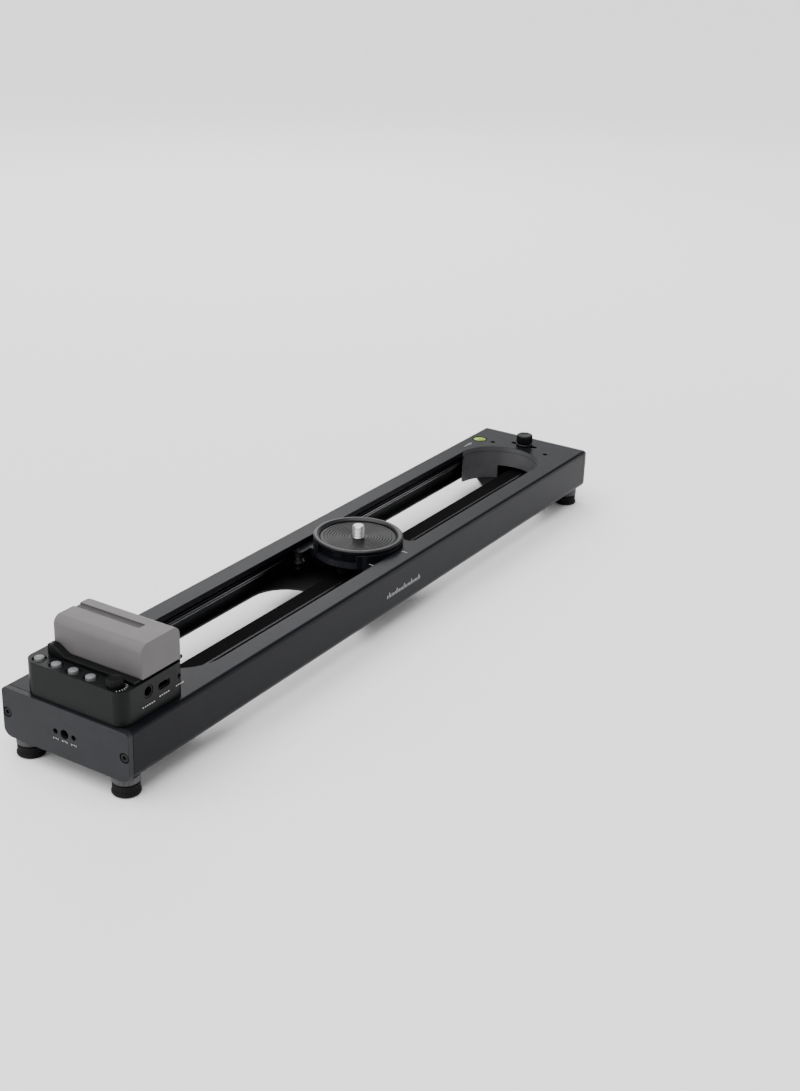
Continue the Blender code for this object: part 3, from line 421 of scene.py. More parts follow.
def facing(piece: bpy.types.Object, direction: tuple[float, float, float], least: float) -> Array:
    """Find a piece's faces whose normal makes at least the given cosine with a unit direction."""
    normals = np.empty(len(piece.data.polygons) * 3, np.float32)
    piece.data.polygons.foreach_get("normal", normals)
    return normals.reshape(-1, 3) @ np.array(direction, np.float32) >= least


def face_centres(piece: bpy.types.Object) -> Array:
    """Return the middle of each of a piece's faces, one row each."""
    centres = np.empty(len(piece.data.polygons) * 3, np.float32)
    piece.data.polygons.foreach_get("center", centres)
    return centres.reshape(-1, 3)


def within(piece: bpy.types.Object, low: tuple[float, float, float],
           high: tuple[float, float, float]) -> Array:
    """Find a piece's faces whose middle lies in a box."""
    centres = face_centres(piece)
    return ((centres >= np.array(low)) & (centres <= np.array(high))).all(1)


@dataclass
class Assembly:
    """A group of pieces that are dressed together.

    Attributes:
        pieces: Names of the pieces made so far.
    """

    pieces: list[str] = field(default_factory=list)

    def add(self, name: str, mesh: bpy.types.Mesh, finish: Finish, body: str, slot: str,
            replaces: tuple[str, ...] = ()) -> bpy.types.Object:
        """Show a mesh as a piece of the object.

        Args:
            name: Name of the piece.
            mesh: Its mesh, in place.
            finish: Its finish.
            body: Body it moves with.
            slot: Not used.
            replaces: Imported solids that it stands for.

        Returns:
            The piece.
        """
        piece = bpy.data.objects.new(name, mesh)
        bpy.context.scene.collection.objects.link(piece)
        mesh.materials.clear()
        mesh.materials.append(finish.material())
        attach(piece, body)
        if replaces:
            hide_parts(*replaces)
        self.pieces.append(name)
        LOG.info("%s rides on %s", name, body)
        return piece

    def refine(self, node: str, finish: Finish, body: str,
               edge: float = 0.3 * MM) -> bpy.types.Object:
        """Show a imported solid's merged copy with rounded edges in its place."""
        return self.add(f"{node}_look", refined_copy(node, edge), finish, body, node, (node,))

    def recolour(self, piece: bpy.types.Object, finish: Finish, chosen: Array) -> None:
        """Give the chosen faces of a piece another finish.

        Args:
            piece: The piece.
            finish: The other finish.
            chosen: Whether each face takes it.
        """
        mesh = piece.data
        mesh.materials.append(finish.material())
        number = np.empty(len(mesh.polygons), np.int32)
        mesh.polygons.foreach_get("material_index", number)
        number[chosen] = len(mesh.materials) - 1
        mesh.polygons.foreach_set("material_index", number)

    def dress(self, node: str, finish: Finish) -> None:
        """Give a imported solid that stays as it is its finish."""
        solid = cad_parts[node]
        solid.data.materials.clear()
        solid.data.materials.append(finish.material())
        LOG.info("%s is dressed in %s", node, finish.name)


@dataclass
class Body(Assembly):
    """The extruded body, its end plates, floor, liners, rods and screws, and its plain prints.

    Attributes:
        print_height: How far a print stands proud.
        print_width: Width of the marks under the holes.
        scale_start: Place of the side scale's first tick.
        scale_foot: Height of the ticks' feet.
        scale_step: Distance between ticks.
        scale_ticks: Number of ticks.
        scale_reach: Height of a short and of a long tick.
        scale_lean: How far a tick leans, as a share of its height.
        hole_places: Places across the end plate of the holes with a mark under them, in
            millimetres.
        mark_steps: Places of one mark's strokes, in millimetres.
        mark_lengths: Lengths of one mark's strokes, in millimetres.
        opening_middle: Middle of the deck opening.
        opening_reach: Distance from it to the centres of the opening's round ends.
        opening_radius: Radius of those ends.
    """

    print_height: float = 0.02 * MM
    print_width: float = 0.4 * MM
    scale_start: float = -20 * MM
    scale_foot: float = 27.4 * MM
    scale_step: float = 2 * MM
    scale_ticks: int = 23
    scale_reach: tuple[float, float] = (2.4 * MM, 4.2 * MM)
    scale_lean: float = 0.25
    hole_places: tuple[float, ...] = (-7.3, 0.0, 7.3)
    mark_steps: tuple[float, ...] = (-1.8, -0.6, 0.6, 1.8)
    mark_lengths: tuple[float, ...] = (1.2, 0.7, 0.7, 1.2)
    opening_middle: float = 20 * MM
    opening_reach: float = 212 * MM
    opening_radius: float = 34.3 * MM

    def build(self) -> None:
        """Make the body's pieces and dress the ones that stay."""
        housing = self.refine("housing", ANODISED, "frame", 0.35 * MM)
        self.recolour(housing, LINER_GREY, self.opening_ends(housing))
        for end in ("near", "far"):
            self.refine(f"{end}_end_plate", SMOOTH_ANODISED, "frame", 0.35 * MM)
            self.refine(f"{end}_end_liner", LINER_GREY, "frame", 0.25 * MM)
        self.refine("floor_plate", COATED_SHEET, "frame", 0.15 * MM)
        self.refine("tripod_block", TURNED_STEEL, "frame", 0.3 * MM)
        for side in ("front", "rear"):
            self.rod(f"{side}_guide_rod")
        for place in PLACES:
            self.refine(f"end_screw_{place}", SCREW_BLACK, "frame", 0.15 * MM)
        self.side_scale()
        self.hole_marks()
        self.deck_marks()

    def opening_ends(self, housing: bpy.types.Object) -> Array:
        """Find the upright faces of the deck opening's round ends: those at its radius."""
        centres = face_centres(housing)
        past = np.abs(centres[:, 0] - self.opening_middle) - self.opening_reach
        away = np.hypot(np.maximum(past, 0), centres[:, 1])
        high = (centres[:, 2] > 43.6 * MM) & (centres[:, 2] < 46.9 * MM)
        return high & (past > 1 * MM) & (np.abs(away - self.opening_radius) < 0.3 * MM)

    def rod(self, node: str) -> None:
        """Make a ground rod with chamfered ends: a circle carried along X."""
        low, high = span(node)
        centre = (low + high) / 2
        radius = (high[2] - low[2]) / 2
        ends = [(0, low[0]), (radius, low[0]), (radius, high[0]), (0, high[0])]
        profile = softened(np.array(ends), 0.5 * MM, 3)
        mesh = turned(f"{node}_look", profile, (centre[1], centre[2]), 40, axis=0)
        self.add(f"{node}_look", mesh, ROD_DARK, "frame", node, (node,))

    def side_scale(self) -> None:
        """Print a plain scale at the middle of the front side, with every fifth tick longer."""
        front = span("housing")[0][1]
        number = np.arange(self.scale_ticks)
        place = self.scale_start + self.scale_step * number
        short, tall = self.scale_reach
        reach = np.where(number % 5 == 1, tall, short)
        starts = np.stack([place, np.full_like(place, self.scale_foot)], 1)
        ends = np.stack([place + self.scale_lean * reach, self.scale_foot + reach], 1)
        mesh = strokes("side_scale", starts, ends, 0.55 * MM, front, -self.print_height, 1)
        self.add("side_scale", mesh, PRINT_WHITE, "frame", "housing")

    def hole_marks(self) -> None:
        """Print a small plain mark under each of the near end plate's three holes."""
        near = span("near_end_plate")[0][0]
        centres = np.array(self.hole_places)[:, None] * MM
        steps = np.array(self.mark_steps)[None, :] * MM
        side = (centres + steps).ravel()
        height = 26.1 * MM - 0.012 * np.abs(side)
        tall = np.tile(self.mark_lengths, len(self.hole_places)) * MM
        starts = np.stack([side, height], 1)
        ends = np.stack([side, height - tall], 1)
        mesh = strokes("hole_marks", starts, ends, self.print_width, near, -self.print_height, 0)
        self.add("hole_marks", mesh, PRINT_WHITE, "frame", "near_end_plate")

    def deck_marks(self) -> None:
        """Print the mark beside the level and the index tick at the middle of the front strip."""
        top = span("housing")[1][2]
        starts = np.array([(245.0, 40.0), (252.4, 38.6), (254.2, 38.9), (256.0, 39.2),
                           (20.0, -42.0)]) * MM
        ends = np.array([(251.4, 40.0), (252.4, 41.4), (254.2, 41.1), (256.0, 40.8),
                         (20.0, -36.9)]) * MM
        mesh = strokes("deck_marks", starts, ends, 0.5 * MM, top, self.print_height)
        self.add("deck_marks", mesh, PRINT_WHITE, "frame", "housing")


@dataclass
class Feet(Assembly):
    """Four levelling feet: a knurled collar over a ribbed rubber pad on a threaded stud."""

    collar_ridges: int = 54
    collar_bore: float = 3.4 * MM
    rim: float = 0.7 * MM
    pad_ribs: int = 72
    pad_height: float = 7.6 * MM
    stud_radius: float = 3.0 * MM

    def build(self) -> None:
        """Make every foot."""
        for place in PLACES:
            self.collar(f"foot_collar_{place}")
            self.pad(f"foot_pad_{place}", f"foot_{place}")

    def collar(self, node: str) -> None:
        """Turn a collar with a ridged band between two plain rims."""
        low, high = span(node)
        centre = (low + high) / 2
        outer = (high[0] - low[0]) / 2
        inner, rim = self.collar_bore, self.rim
        groove = outer - 0.3 * MM
        loop = [(inner, high[2]), (outer, high[2]), (outer, high[2] - rim), (groove, high[2] - rim),
                (groove, high[2] - rim - 0.3 * MM), (outer, high[2] - rim - 0.4 * MM),
                (outer, low[2] + rim), (outer - 0.8 * MM, low[2]), (inner, low[2])]
        profile = softened(np.array(loop), 0.18 * MM, 2, closed=True)
        band = (low[2] + rim, high[2] - rim - 0.3 * MM)
        mesh = turned(f"{node}_look", profile, (centre[0], centre[1]), 216, self.collar_ridges,
                      0.35 * MM, band, closed=True)
        self.add(f"{node}_look", mesh, COLLAR_STEEL, "frame", node, (node,))

    def pad(self, node: str, body: str) -> None:
        """Turn a rubber pad that flares to its foot, with fine ribs round its side."""
        low, high = span(node)
        centre = (low + high) / 2
        foot = (high[0] - low[0]) / 2
        shoulder = foot - 0.6 * MM
        top = low[2] + self.pad_height
        stud = self.stud_radius
        line = [(0, high[2]), (stud, high[2]), (stud, top), (shoulder, top), (shoulder, top - 4 * MM),
                (foot - 0.4 * MM, top - 5 * MM), (foot, top - 5.7 * MM), (foot, low[2] + 0.8 * MM),
                (foot - 0.8 * MM, low[2]), (0, low[2])]
        profile = softened(np.array(line), 0.35 * MM, 3)
        band = (low[2] + 2.6 * MM, top - 0.5 * MM)
        mesh = turned(f"{node}_look", profile, (centre[0], centre[1]), 288, self.pad_ribs, 0.2 * MM,
                      band)
        self.add(f"{node}_look", mesh, FOOT_RUBBER, body, node, (node,))


@dataclass
class PanGuide(Assembly):
    """The swinging bar, its pivot pin and the knurled knob that clamps it."""

    knob_ridges: int = 44
    knob_height: float = 9.5 * MM
    stud_radius: float = 1.8 * MM
    # Depth under the bar's top within which the chamfers carry the painted highlight.
    highlight_band: float = 0.8 * MM

    def build(self) -> None:
        """Make the bar, the pin, the sleeve and the knob."""
        bar = self.refine("guide_bar", BAR_BLACK, "pan_guide", 0.15 * MM)
        slant = math.sqrt(0.5)
        # Chamfer faces above this height get the bright finish, a painted highlight along the bar's
        # edges.
        highlight_floor = span("guide_bar")[1][2] - self.highlight_band
        self.split(bar.data, highlight_floor)
        chamfers = facing(bar, (0, -slant, slant), 0.97) | facing(bar, (0, slant, slant), 0.97)
        self.recolour(bar, CHAMFER_PAINTED_HIGHLIGHT, chamfers & (face_centres(bar)[:, 2] > highlight_floor))
        self.dress("clamp_sleeve", BLACK_STEEL)
        self.refine("bar_pivot_pin", TURNED_STEEL, "frame", 0.2 * MM)
        self.knob("clamp_knob")

    def split(self, mesh: bpy.types.Mesh, height: float) -> None:
        """Cut a mesh's faces along the level plane at a height, without opening it."""
        shape = bmesh.new()
        shape.from_mesh(mesh)
        every = shape.verts[:] + shape.edges[:] + shape.faces[:]
        bmesh.ops.bisect_plane(shape, geom=every, plane_co=(0, 0, height), plane_no=(0, 0, 1))
        shape.to_mesh(mesh)
        shape.free()

    def knob(self, node: str) -> None:
        """Turn a knob with a ridged grip, a waist and a base flange."""
        low, high = span(node)
        centre = (low + high) / 2
        flange = (high[0] - low[0]) / 2
        grip = flange - 0.2 * MM
        top = high[2]
        base = top - self.knob_height
        stud = self.stud_radius
        line = [(0, top - 0.3 * MM), (3.4 * MM, top - 0.3 * MM), (3.6 * MM, top), (grip - 0.8 * MM, top),
                (grip, top - 0.8 * MM), (grip, top - 6.7 * MM), (grip - 0.6 * MM, top - 7.2 * MM),
                (grip - 0.6 * MM, top - 7.9 * MM), (flange, top - 8.5 * MM), (flange, base),
                (stud, base), (stud, low[2]), (0, low[2])]
        profile = softened(np.array(line), 0.2 * MM, 3)
        mesh = turned(f"{node}_look", profile, (centre[0], centre[1]), 220, self.knob_ridges,
                      0.45 * MM, (top - 6.8 * MM, top - 0.75 * MM))
        self.add(f"{node}_look", mesh, BLACK_STEEL, "knob", node, (node,))


@dataclass
class Carriage(Assembly):
    """The carriage plate with its hub, rollers, axles, belt clamp and a white line that is a painted
    highlight on the plate's near edge.

    Attributes:
        hub_x: Place of the hub's axis along the body.
        hub_radius: Radius of the hub's wall.
        recess_floor: Height below which the hub's wall takes the lighter smooth anodised tone, painted
            light for the light that falls on the lower wall.
        plate_top: Height of the plate beside the hub.
        highlight_x: Place of the white line painted on as the highlight of the plate's near edge.
        highlight_ends: Where that painted highlight starts and ends across the body.
    """

    hub_x: float = 17.5 * MM
    hub_radius: float = 33.8 * MM
    recess_floor: float = 43.8 * MM
    plate_top: float = 42.8 * MM
    highlight_x: float = -5.5 * MM
    highlight_ends: tuple[float, float] = (-30.0 * MM, -25.0 * MM)

    def build(self) -> None:
        """Make the carriage's pieces."""
        plate = self.refine("carriage_plate", ANODISED, "carriage", 0.3 * MM)
        centres = face_centres(plate)
        away = np.hypot(centres[:, 0] - self.hub_x, centres[:, 1])
        wall = (np.abs(away - self.hub_radius) < 0.5 * MM) & (centres[:, 2] < self.recess_floor)
        # The lower hub wall gets a lighter tone: painted light for the light that falls on that band.
        self.recolour(plate, SMOOTH_ANODISED, wall)
        self.refine("belt_clamp", SHOE_PLASTIC, "carriage", 0.3 * MM)
        for place in PLACES:
            self.refine(f"roller_{place}", ROLLER_PLASTIC, f"wheel_{place}", 0.2 * MM)
            self.refine(f"axle_{place}", BLACK_STEEL, "carriage", 0.2 * MM)
        # A white line at the plate's near front edge: a painted highlight standing in for the light
        # caught by that edge.
        start, end = self.highlight_ends
        mesh = strokes("plate_edge_painted_highlight", [(self.highlight_x, start)], [(self.highlight_x, end)], 0.5 * MM,
                       self.plate_top, 0.03 * MM)
        self.add("plate_edge_painted_highlight", mesh, PRINT_WHITE, "carriage", "carriage_plate")


@dataclass
class Turntable(Assembly):
    """The ring with its lighter lip, the recessed platform and camera screw, and the follower."""

    ring_bore: float = 29.0 * MM
    stem_radius: float = 10.0 * MM
    screw_bore: float = 5.0 * MM
    stem_height: float = 13.7 * MM
    grip_rings: int = 9
    thread_pitch: float = 1.5875 * MM
    thread_depth: float = 0.75 * MM
    thread_rows: int = 240
    thread_steps: int = 48

    def build(self) -> None:
        """Make the turntable's pieces."""
        self.ring("turntable_ring")
        self.platform("turntable_platform")
        self.camera_screw("camera_screw")
        self.refine("follower_arm", BLACK_STEEL, "turntable", 0.2 * MM)
        self.refine("follower_roller", BLACK_STEEL, "follower_wheel", 0.2 * MM)

    def ring(self, node: str) -> None:
        """Turn the ring: a broad sloping lip outside, a dark wall inside."""
        low, high = span(node)
        centre = (low + high) / 2
        outer = (high[0] - low[0]) / 2
        inner = self.ring_bore
        loop = [(inner, low[2]), (outer - 0.6 * MM, low[2]), (outer, low[2] + 0.6 * MM),
                (outer, high[2] - 0.9 * MM), (outer - 0.9 * MM, high[2]), (inner + 2.3 * MM, high[2]),
                (inner + 1.1 * MM, high[2] - 0.5 * MM), (inner, high[2] - 1.6 * MM)]
        profile = softened(np.array(loop), 0.25 * MM, 3, closed=True)
        mesh = turned(f"{node}_look", profile, (centre[0], centre[1]), 160, closed=True)
        piece = self.add(f"{node}_look", mesh, BLACK_STEEL, "turntable", node, (node,))
        self.recolour(piece, LIP_ANODISED, facing(piece, (0, 0, 1), 0.3))

    def platform(self, node: str) -> None:
        """Turn the platform, with shallow rings that grip the base of what stands on it."""
        low, high = span(node)
        centre = (low + high) / 2
        outer = (high[0] - low[0]) / 2
        stem, bore = self.stem_radius, self.screw_bore
        shelf = low[2] + self.stem_height
        top = high[2]
        rings = np.linspace(bore + 3 * MM, outer - 3 * MM, self.grip_rings)
        grooves = np.stack([
            np.stack([rings - 0.5 * MM, rings, rings + 0.5 * MM], 1).ravel(),
            np.tile([top, top - 0.3 * MM, top], len(rings)),
        ], 1)
        loop = np.vstack([
            [(bore, low[2]), (bore, top)], grooves,
            [(outer, top), (outer, shelf), (stem, shelf), (stem, low[2])],
        ])
        profile = softened(loop, 0.12 * MM, 2, closed=True)
        mesh = turned(f"{node}_look", profile, (centre[0], centre[1]), 144, closed=True)
        self.add(f"{node}_look", mesh, BLACK_STEEL, "turntable", node, (node,))

    def camera_screw(self, node: str) -> None:
        """Carry a thread round the screw.

        The radius at height z and angle a is R - d |2 s - 1| with s the fraction left over from
        z / pitch - a / 360 degrees, drawn in towards both ends.
        """
        low, high = span(node)
        centre = (low + high) / 2
        radius = (high[0] - low[0]) / 2
        rows, steps = self.thread_rows, self.thread_steps
        height = np.linspace(low[2], high[2], rows)[:, None]
        angle = np.linspace(0, 2 * np.pi, steps, endpoint=False)[None, :]
        phase = (height / self.thread_pitch - angle / (2 * np.pi)) % 1.0
        groove = self.thread_depth * np.abs(2 * phase - 1)
        end = np.minimum(height - low[2], high[2] - height)
        chamfer = np.clip(1.0 * MM - end, 0, None)
        reach = radius - np.maximum(groove, chamfer)
        points = np.stack([centre[0] + reach * np.cos(angle), centre[1] + reach * np.sin(angle),
                           np.broadcast_to(height, reach.shape)], -1)
        faces = grid_faces(rows, steps, False, True)
        faces += [list(range(steps)), list(range((rows - 1) * steps, rows * steps))]
        mesh = make_mesh(f"{node}_look", points.reshape(-1, 3), faces)
        self.add(f"{node}_look", mesh, TURNED_STEEL, "turntable", node, (node,))


@dataclass
class BeltDrive(Assembly):
    """The toothed belt, its pulleys and the gear motor."""

    tooth_pitch: float = 2.0 * MM
    tooth_height: float = 0.7 * MM
    web: float = 0.7 * MM

    def build(self) -> None:
        """Make the drive's pieces."""
        self.belt("drive_belt")
        self.refine("drive_pulley", TURNED_STEEL, "drive_wheel", 0.2 * MM)
        self.refine("idler_pulley", TURNED_STEEL, "idler_wheel", 0.2 * MM)
        self.refine("idler_axle", TURNED_STEEL, "frame", 0.2 * MM)
        self.refine("gear_motor", BLACK_STEEL, "frame", 0.3 * MM)

    def belt(self, node: str) -> None:
        """Carry the belt's section round its two pulleys.

        A point at distance s along the loop lies on the upper run, round one pulley, on the lower run
        or round the other. The inner side stands in from the outer one by the web and a tooth, whose
        height is h (1 + cos(360 degrees s / pitch)) / 2.
        """
        low, high = span(node)
        outer = (high[1] - low[1]) / 2
        start, end = low[0] + outer, high[0] - outer
        centre = (low[1] + high[1]) / 2
        run = end - start
        length = 2 * run + 2 * np.pi * outer
        teeth = round(length / self.tooth_pitch)
        s = np.linspace(0, length, teeth * 4, endpoint=False)
        turn = np.pi * outer
        bend = np.clip((s - run) / outer, 0, np.pi) + np.clip((s - 2 * run - turn) / outer, 0, np.pi)
        heading = np.stack([np.sin(bend), np.cos(bend)], 1)
        spine_x = start + np.clip(s, 0, run) - np.clip(s - run - turn, 0, run)
        spine = np.stack([spine_x, np.full_like(s, centre)], 1)
        tooth = self.tooth_height * (1 + np.cos(2 * np.pi * s * teeth / length)) / 2
        inside = self.web + tooth
        depth = np.stack([np.zeros_like(s), inside, inside, np.zeros_like(s)], 1)
        flat = spine[:, None] + heading[:, None] * (outer - depth)[..., None]
        level = np.array([low[2], low[2], high[2], high[2]])
        points = np.concatenate([flat, np.broadcast_to(level[None, :, None], (*depth.shape, 1))], -1)
        mesh = make_mesh(f"{node}_look", points.reshape(-1, 3), grid_faces(len(s), 4, True, True))
        self.add(f"{node}_look", mesh, BELT_RUBBER, "frame", node, (node,))


@dataclass
class ControlBox(Assembly):
    """The control box with its buttons, dial, sockets, board and plain prints.

    Attributes:
        well_low: Near front corner of the region that holds the button wells.
        well_high: Far rear corner of that region.
        dial_height: Height of the dial over the box.
        dial_stem: Radius of the dial's stem.
        dial_ridges: Number of ridges round the dial.
        tick_radii: Radii at which the ticks round the dial start and end.
        tick_angles: Angles of the first and last tick, in degrees.
        tick_count: Number of ticks.
        tick_width: Width of a tick.
        dash_rows: Socket, number of dashes and drop below the socket's middle of each row.
        dash_step: Distance between dashes.
        dash_half: Half of a dash's length.
        print_height: How far a print stands proud.
        button_stem: Radius of a button's stem.
        flange_height: Height of a button's flange over its stem's foot.
    """

    well_low: tuple[float, float] = (-0.298, -0.0215)
    well_high: tuple[float, float] = (-0.2865, 0.03)
    dial_height: float = 5.0 * MM
    dial_stem: float = 2.9 * MM
    dial_ridges: int = 26
    tick_radii: tuple[float, float] = (6.3 * MM, 7.5 * MM)
    tick_angles: tuple[float, float] = (228, 348)
    tick_count: int = 9
    tick_width: float = 0.35 * MM
    dash_rows: tuple[tuple[str, int, float], ...] = (
        ("dc_socket", 6, 9.0 * MM), ("usb_socket", 5, 6.4 * MM), ("aux_socket", 4, 5.6 * MM))
    dash_step: float = 2.0 * MM
    dash_half: float = 0.55 * MM
    print_height: float = 0.03 * MM
    button_stem: float = 1.5 * MM
    flange_height: float = 5.3 * MM

    def build(self) -> None:
        """Make the box and everything on it."""
        box = self.refine("control_box", BOX_PLASTIC, "frame", 0.5 * MM)
        top = span("control_box")[1][2]
        wells = within(box, (*self.well_low, top - 1.2 * MM), (*self.well_high, top - 0.1 * MM))
        self.recolour(box, SHOE_PLASTIC, wells)
        for number in range(1, 5):
            self.button(f"push_button_{number}", f"button_{number}")
        self.dial("speed_dial")
        self.refine("dc_socket", SOCKET_DARK, "frame", 0.15 * MM)
        self.refine("usb_socket", SOCKET_SHELL, "frame", 0.1 * MM)
        self.refine("aux_socket", SOCKET_DARK, "frame", 0.1 * MM)
        self.refine("circuit_board", BOARD_GREEN, "frame", 0.1 * MM)
        self.dial_ticks()
        self.socket_marks()

    def dial_ticks(self) -> None:
        """Print ticks round the dial's front: tick a runs from r (cos a, sin a) to R (cos a, sin a)."""
        low, high = span("speed_dial")
        centre = ((low + high) / 2)[:2]
        angle = np.radians(np.linspace(*self.tick_angles, self.tick_count))
        ray = np.stack([np.cos(angle), np.sin(angle)], 1)
        top = span("control_box")[1][2]
        inner, outer = self.tick_radii
        mesh = strokes("dial_ticks", centre + inner * ray, centre + outer * ray, self.tick_width,
                       top, self.print_height)
        self.add("dial_ticks", mesh, PRINT_WHITE, "frame", "control_box")

    def socket_marks(self) -> None:
        """Print a row of short plain dashes under each socket."""
        front = span("control_box")[0][1]
        rows = []
        for node, count, drop in self.dash_rows:
            low, high = span(node)
            x, _, z = (low + high) / 2
            step = np.arange(count) - (count - 1) / 2
            rows.append(np.stack([x + step * self.dash_step, np.full(count, z - drop)], 1))
        places = np.concatenate(rows)
        half = np.array([self.dash_half, 0])
        mesh = strokes("socket_marks", places - half, places + half, 0.7 * MM, front,
                       -self.print_height, 1)
        self.add("socket_marks", mesh, PRINT_WHITE, "frame", "control_box")

    def button(self, node: str, body: str) -> None:
        """Turn a domed button with a flange under the box's top."""
        low, high = span(node)
        centre = (low + high) / 2
        flange = (high[0] - low[0]) / 2
        cap = flange - 0.5 * MM
        stem = self.button_stem
        rise = np.linspace(0, np.pi / 2, 8)
        dome = np.stack([cap * np.sin(rise), high[2] - 0.9 * MM * (1 - np.cos(rise))], 1)
        under = low[2] + self.flange_height
        line = np.vstack([dome, [(cap, under + 0.8 * MM), (flange, under + 0.8 * MM), (flange, under),
                                 (stem, under), (stem, low[2]), (0, low[2])]])
        mesh = turned(f"{node}_look", line, (centre[0], centre[1]), 48)
        self.add(f"{node}_look", mesh, BUTTON_GREY, body, node, (node,))

    def dial(self, node: str) -> None:
        """Turn the dial with a ridged side and a dished top."""
        low, high = span(node)
        centre = (low + high) / 2
        radius = (high[0] - low[0]) / 2
        base = high[2] - self.dial_height
        stem = self.dial_stem
        line = [(0, high[2] - 0.3 * MM), (radius - 1.6 * MM, high[2] - 0.25 * MM),
                (radius - 1.2 * MM, high[2]), (radius - 0.5 * MM, high[2]),
                (radius, high[2] - 0.6 * MM), (radius, base), (stem, base), (stem, low[2]),
                (0, low[2])]
        profile = softened(np.array(line), 0.15 * MM, 2)
        mesh = turned(f"{node}_look", profile, (centre[0], centre[1]), 156, self.dial_ridges,
                      0.4 * MM, (base, high[2] - 0.5 * MM))
        self.add(f"{node}_look", mesh, KNOB_PLASTIC, "dial", node, (node,))


@dataclass
class Power(Assembly):
    """The battery shoe, its contacts and the pack.

    Attributes:
        groove_x: Near and far side of the groove in the pack's top.
        groove_front: Where the groove starts. It runs out at the rear.
        groove_depth: How far down the groove's faces are looked for.
    """

    groove_x: tuple[float, float] = (-0.262, -0.2552)
    groove_front: float = -0.0285
    groove_depth: float = 1.4 * MM

    def build(self) -> None:
        """Make the shoe, the contacts and the pack."""
        self.refine("battery_shoe", SHOE_PLASTIC, "frame", 0.3 * MM)
        self.refine("battery_contacts", CONTACT_GOLD, "frame", 0.1 * MM)
        pack = self.refine("battery_pack", BATTERY_CASE, "battery", 0.5 * MM)
        _, high = span("battery_pack")
        near, far = self.groove_x
        groove = within(pack, (near, self.groove_front, high[2] - self.groove_depth),
                        (far, high[1], high[2] - 0.25 * MM))
        # The groove's faces get a darker tone than the rest of the case.
        self.recolour(pack, BATTERY_GROOVE_DARKER, groove)


@dataclass
class Level(Assembly):
    """The bubble level let into the far deck.

    Attributes:
        sag: Fall of the vial's dome from its middle to its edge.
        bubble_place: Place of the bubble from the vial's middle.
        bubble_radius: Radius of the bubble.
    """

    sag: float = 0.7 * MM
    bubble_place: tuple[float, float] = (-0.9 * MM, 0.7 * MM)
    bubble_radius: float = 1.9 * MM

    def build(self) -> None:
        """Make the cup, the vial and its bubble."""
        self.refine("level_cup", BLACK_STEEL, "frame", 0.15 * MM)
        self.vial("level_vial")

    def vial(self, node: str) -> None:
        """Turn the vial's low dome, whose height falls by sag (r / R) squared, and its bubble.

        The bubble is a shallow lens on the dome, which falls by 0.35 mm towards its own edge.
        """
        low, high = span(node)
        centre = (low + high) / 2
        radius = (high[0] - low[0]) / 2
        rise = np.linspace(0, 1, 10)
        dome = np.stack([radius * rise, high[2] - self.sag * rise**2], 1)
        line = np.vstack([dome, [(radius, low[2]), (0, low[2])]])
        mesh = turned(f"{node}_look", line, (centre[0], centre[1]), 56)
        self.add(f"{node}_look", mesh, VIAL_LIME, "frame", node, (node,))
        spot = centre[:2] + np.array(self.bubble_place)
        lens = np.linspace(0, self.bubble_radius, 8)
        crown = high[2] - self.sag * (np.hypot(*self.bubble_place) / radius) ** 2
        cap = np.stack([lens, crown + 0.12 * MM - 0.35 * MM * (lens / lens[-1]) ** 2], 1)
        line = np.vstack([cap, [(lens[-1], crown - 0.5 * MM), (0, crown - 0.5 * MM)]])
        bubble = turned("level_bubble", line, (spot[0], spot[1]), 40)
        self.add("level_bubble", bubble, BUBBLE_PALE, "frame", node)


@dataclass(frozen=True)
class SoftBox:
    """A rectangular soft light that faces the slider.

    Attributes:
        name: Name of the light.
        place: Its middle.
        size: Its width and height.
        power: Its power in watts.
    """

    name: str
    place: tuple[float, float, float]
    size: tuple[float, float]
    power: float

    def hang(self) -> None:
        """Put the light in the scene."""
        data = bpy.data.lights.new(self.name, "AREA")
        data.shape = "RECTANGLE"
        data.energy = self.power
        data.size, data.size_y = self.size
        lamp = bpy.data.objects.new(self.name, data)
        lamp.location = self.place
        lamp.rotation_euler = (-Vector(self.place)).to_track_quat("-Z", "Y").to_euler()
        bpy.context.scene.collection.objects.link(lamp)


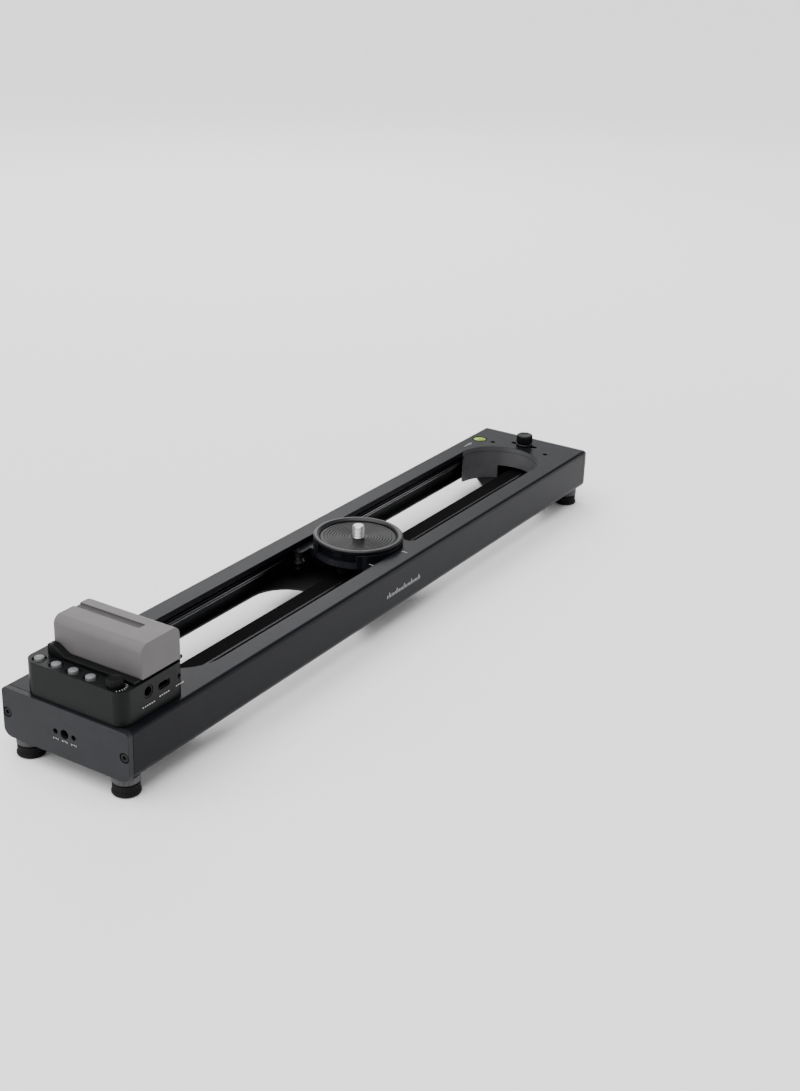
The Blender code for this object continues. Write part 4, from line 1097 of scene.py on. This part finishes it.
@dataclass
class Studio:
    """The floor, the lights and the camera.

    Attributes:
        lens: Focal length for a 36 mm long side.
        eye: Place of the camera.
        target: Point in the middle of the view.
        roll: Turn about the line of sight, in degrees.
        floor_size: Width of the floor.
        ambient: Strength of the even light from all round.
        overhead: Strength of the light from above.
        dim_patch: Unit direction of a dim round patch in the even light, which the rounded upper
            edge mirrors as a dark line.
        dim_edge: Cosines of the angles from it at which the light starts to dim and is dimmest.
        dimmest: Share of the light that is left there.
        overhead_width: Angle over which the light from above spreads, in degrees.
        overhead_tilt: Its turn about X and about Y, in degrees.
        soft_boxes: The rectangular lights.
    """

    lens: float = 52.92
    eye: tuple[float, float, float] = (-0.9087, -0.6068, 0.5278)
    target: tuple[float, float, float] = (0.07768, 0.0, 0.02206)
    roll: float = 2.04
    floor_size: float = 40.0
    ambient: float = 0.6
    overhead: float = 4.6
    dim_patch: tuple[float, float, float] = (0.75, -0.02, 0.66)
    dim_edge: tuple[float, float] = (0.87, 0.92)
    dimmest: float = 0.02
    overhead_width: float = 70
    overhead_tilt: tuple[float, float] = (-6, -12)
    soft_boxes: tuple[SoftBox, ...] = (
        SoftBox("back_box", (1.7, 1.15, 0.95), (1.7, 0.9), 5),
        SoftBox("rear_box", (1.1, 1.15, 1.05), (1.0, 0.8), 7),
        SoftBox("side_box", (1.5, -1.15, 0.45), (0.9, 0.6), 7),
        SoftBox("near_box", (-1.6, 0.7, 0.7), (1.0, 0.8), 9),
    )

    def build(self) -> None:
        """Set the stage."""
        self.floor()
        self.lights()
        self.camera()

    def floor(self) -> None:
        """Lay a wide pale floor just under the feet."""
        half = self.floor_size / 2
        axis = np.linspace(-half, half, 5)
        x, y = np.meshgrid(axis, axis, indexing="ij")
        points = np.stack([x, y, np.full_like(x, -0.2 * MM)], -1).reshape(-1, 3)
        mesh = bpy.data.meshes.new("floor")
        mesh.from_pydata(points.tolist(), [], grid_faces(5, 5, False, False))
        floor = bpy.data.objects.new("floor", mesh)
        bpy.context.scene.collection.objects.link(floor)
        mesh.materials.append(FLOOR_PALE.material())
        if mesh.polygons[0].normal.z < 0:
            mesh.flip_normals()

    def lights(self) -> None:
        """Light the floor evenly from overhead, and the slider with its soft boxes."""
        self.sky()
        data = bpy.data.lights.new("overhead_light", "SUN")
        data.energy = self.overhead
        data.angle = math.radians(self.overhead_width)
        overhead = bpy.data.objects.new("overhead_light", data)
        overhead.rotation_euler = (*map(math.radians, self.overhead_tilt), 0)
        bpy.context.scene.collection.objects.link(overhead)
        for soft_box in self.soft_boxes:
            soft_box.hang()

    def sky(self) -> None:
        """Light the slider evenly from all round, apart from one dim patch.

        The light's share falls from 1 to the dimmest as the cosine of the angle from the patch's
        middle rises between the two edges.
        """
        world = bpy.data.worlds.new("studio")
        world.use_nodes = True
        tree = world.node_tree
        background = tree.nodes["Background"]
        background.inputs["Strength"].default_value = self.ambient
        place = tree.nodes.new("ShaderNodeTexCoord")
        nearness = tree.nodes.new("ShaderNodeVectorMath")
        nearness.operation = "DOT_PRODUCT"
        nearness.inputs[1].default_value = self.dim_patch
        ramp = tree.nodes.new("ShaderNodeValToRGB")
        for element, place_on, share in zip(ramp.color_ramp.elements, self.dim_edge,
                                            (1.0, self.dimmest)):
            element.position = place_on
            element.color = (share, share, share, 1)
        tree.links.new(place.outputs["Generated"], nearness.inputs[0])
        tree.links.new(nearness.outputs["Value"], ramp.inputs["Fac"])
        tree.links.new(ramp.outputs["Color"], background.inputs["Color"])
        bpy.context.scene.world = world

    def camera(self) -> None:
        """Point the camera: its right and up axes are turned by the roll about the line of sight."""
        back = Vector(self.eye) - Vector(self.target)
        back.normalize()
        right = Vector((0, 0, 1)).cross(back).normalized()
        up = back.cross(right)
        turn = math.radians(self.roll)
        rolled_right = right * math.cos(turn) + up * math.sin(turn)
        rolled_up = up * math.cos(turn) - right * math.sin(turn)
        data = bpy.data.cameras.new("camera")
        data.lens = self.lens
        data.sensor_width = 36
        data.clip_start = 0.01
        camera = bpy.data.objects.new("camera", data)
        facing = Matrix((rolled_right, rolled_up, back)).transposed().to_4x4()
        camera.matrix_world = Matrix.Translation(self.eye) @ facing
        bpy.context.scene.collection.objects.link(camera)
        bpy.context.scene.camera = camera


def main() -> None:
    """Build every sub-assembly in order, then set the stage."""
    logging.basicConfig(level=logging.INFO, format="%(message)s")
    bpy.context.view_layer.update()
    for part in (Body(), Feet(), PanGuide(), Carriage(), Turntable(), BeltDrive(), ControlBox(),
                 Power(), Level()):
        part.build()
        LOG.info("%s: %d pieces", type(part).__name__, len(part.pieces))
    Studio().build()


if __name__ == "__main__":
    main()
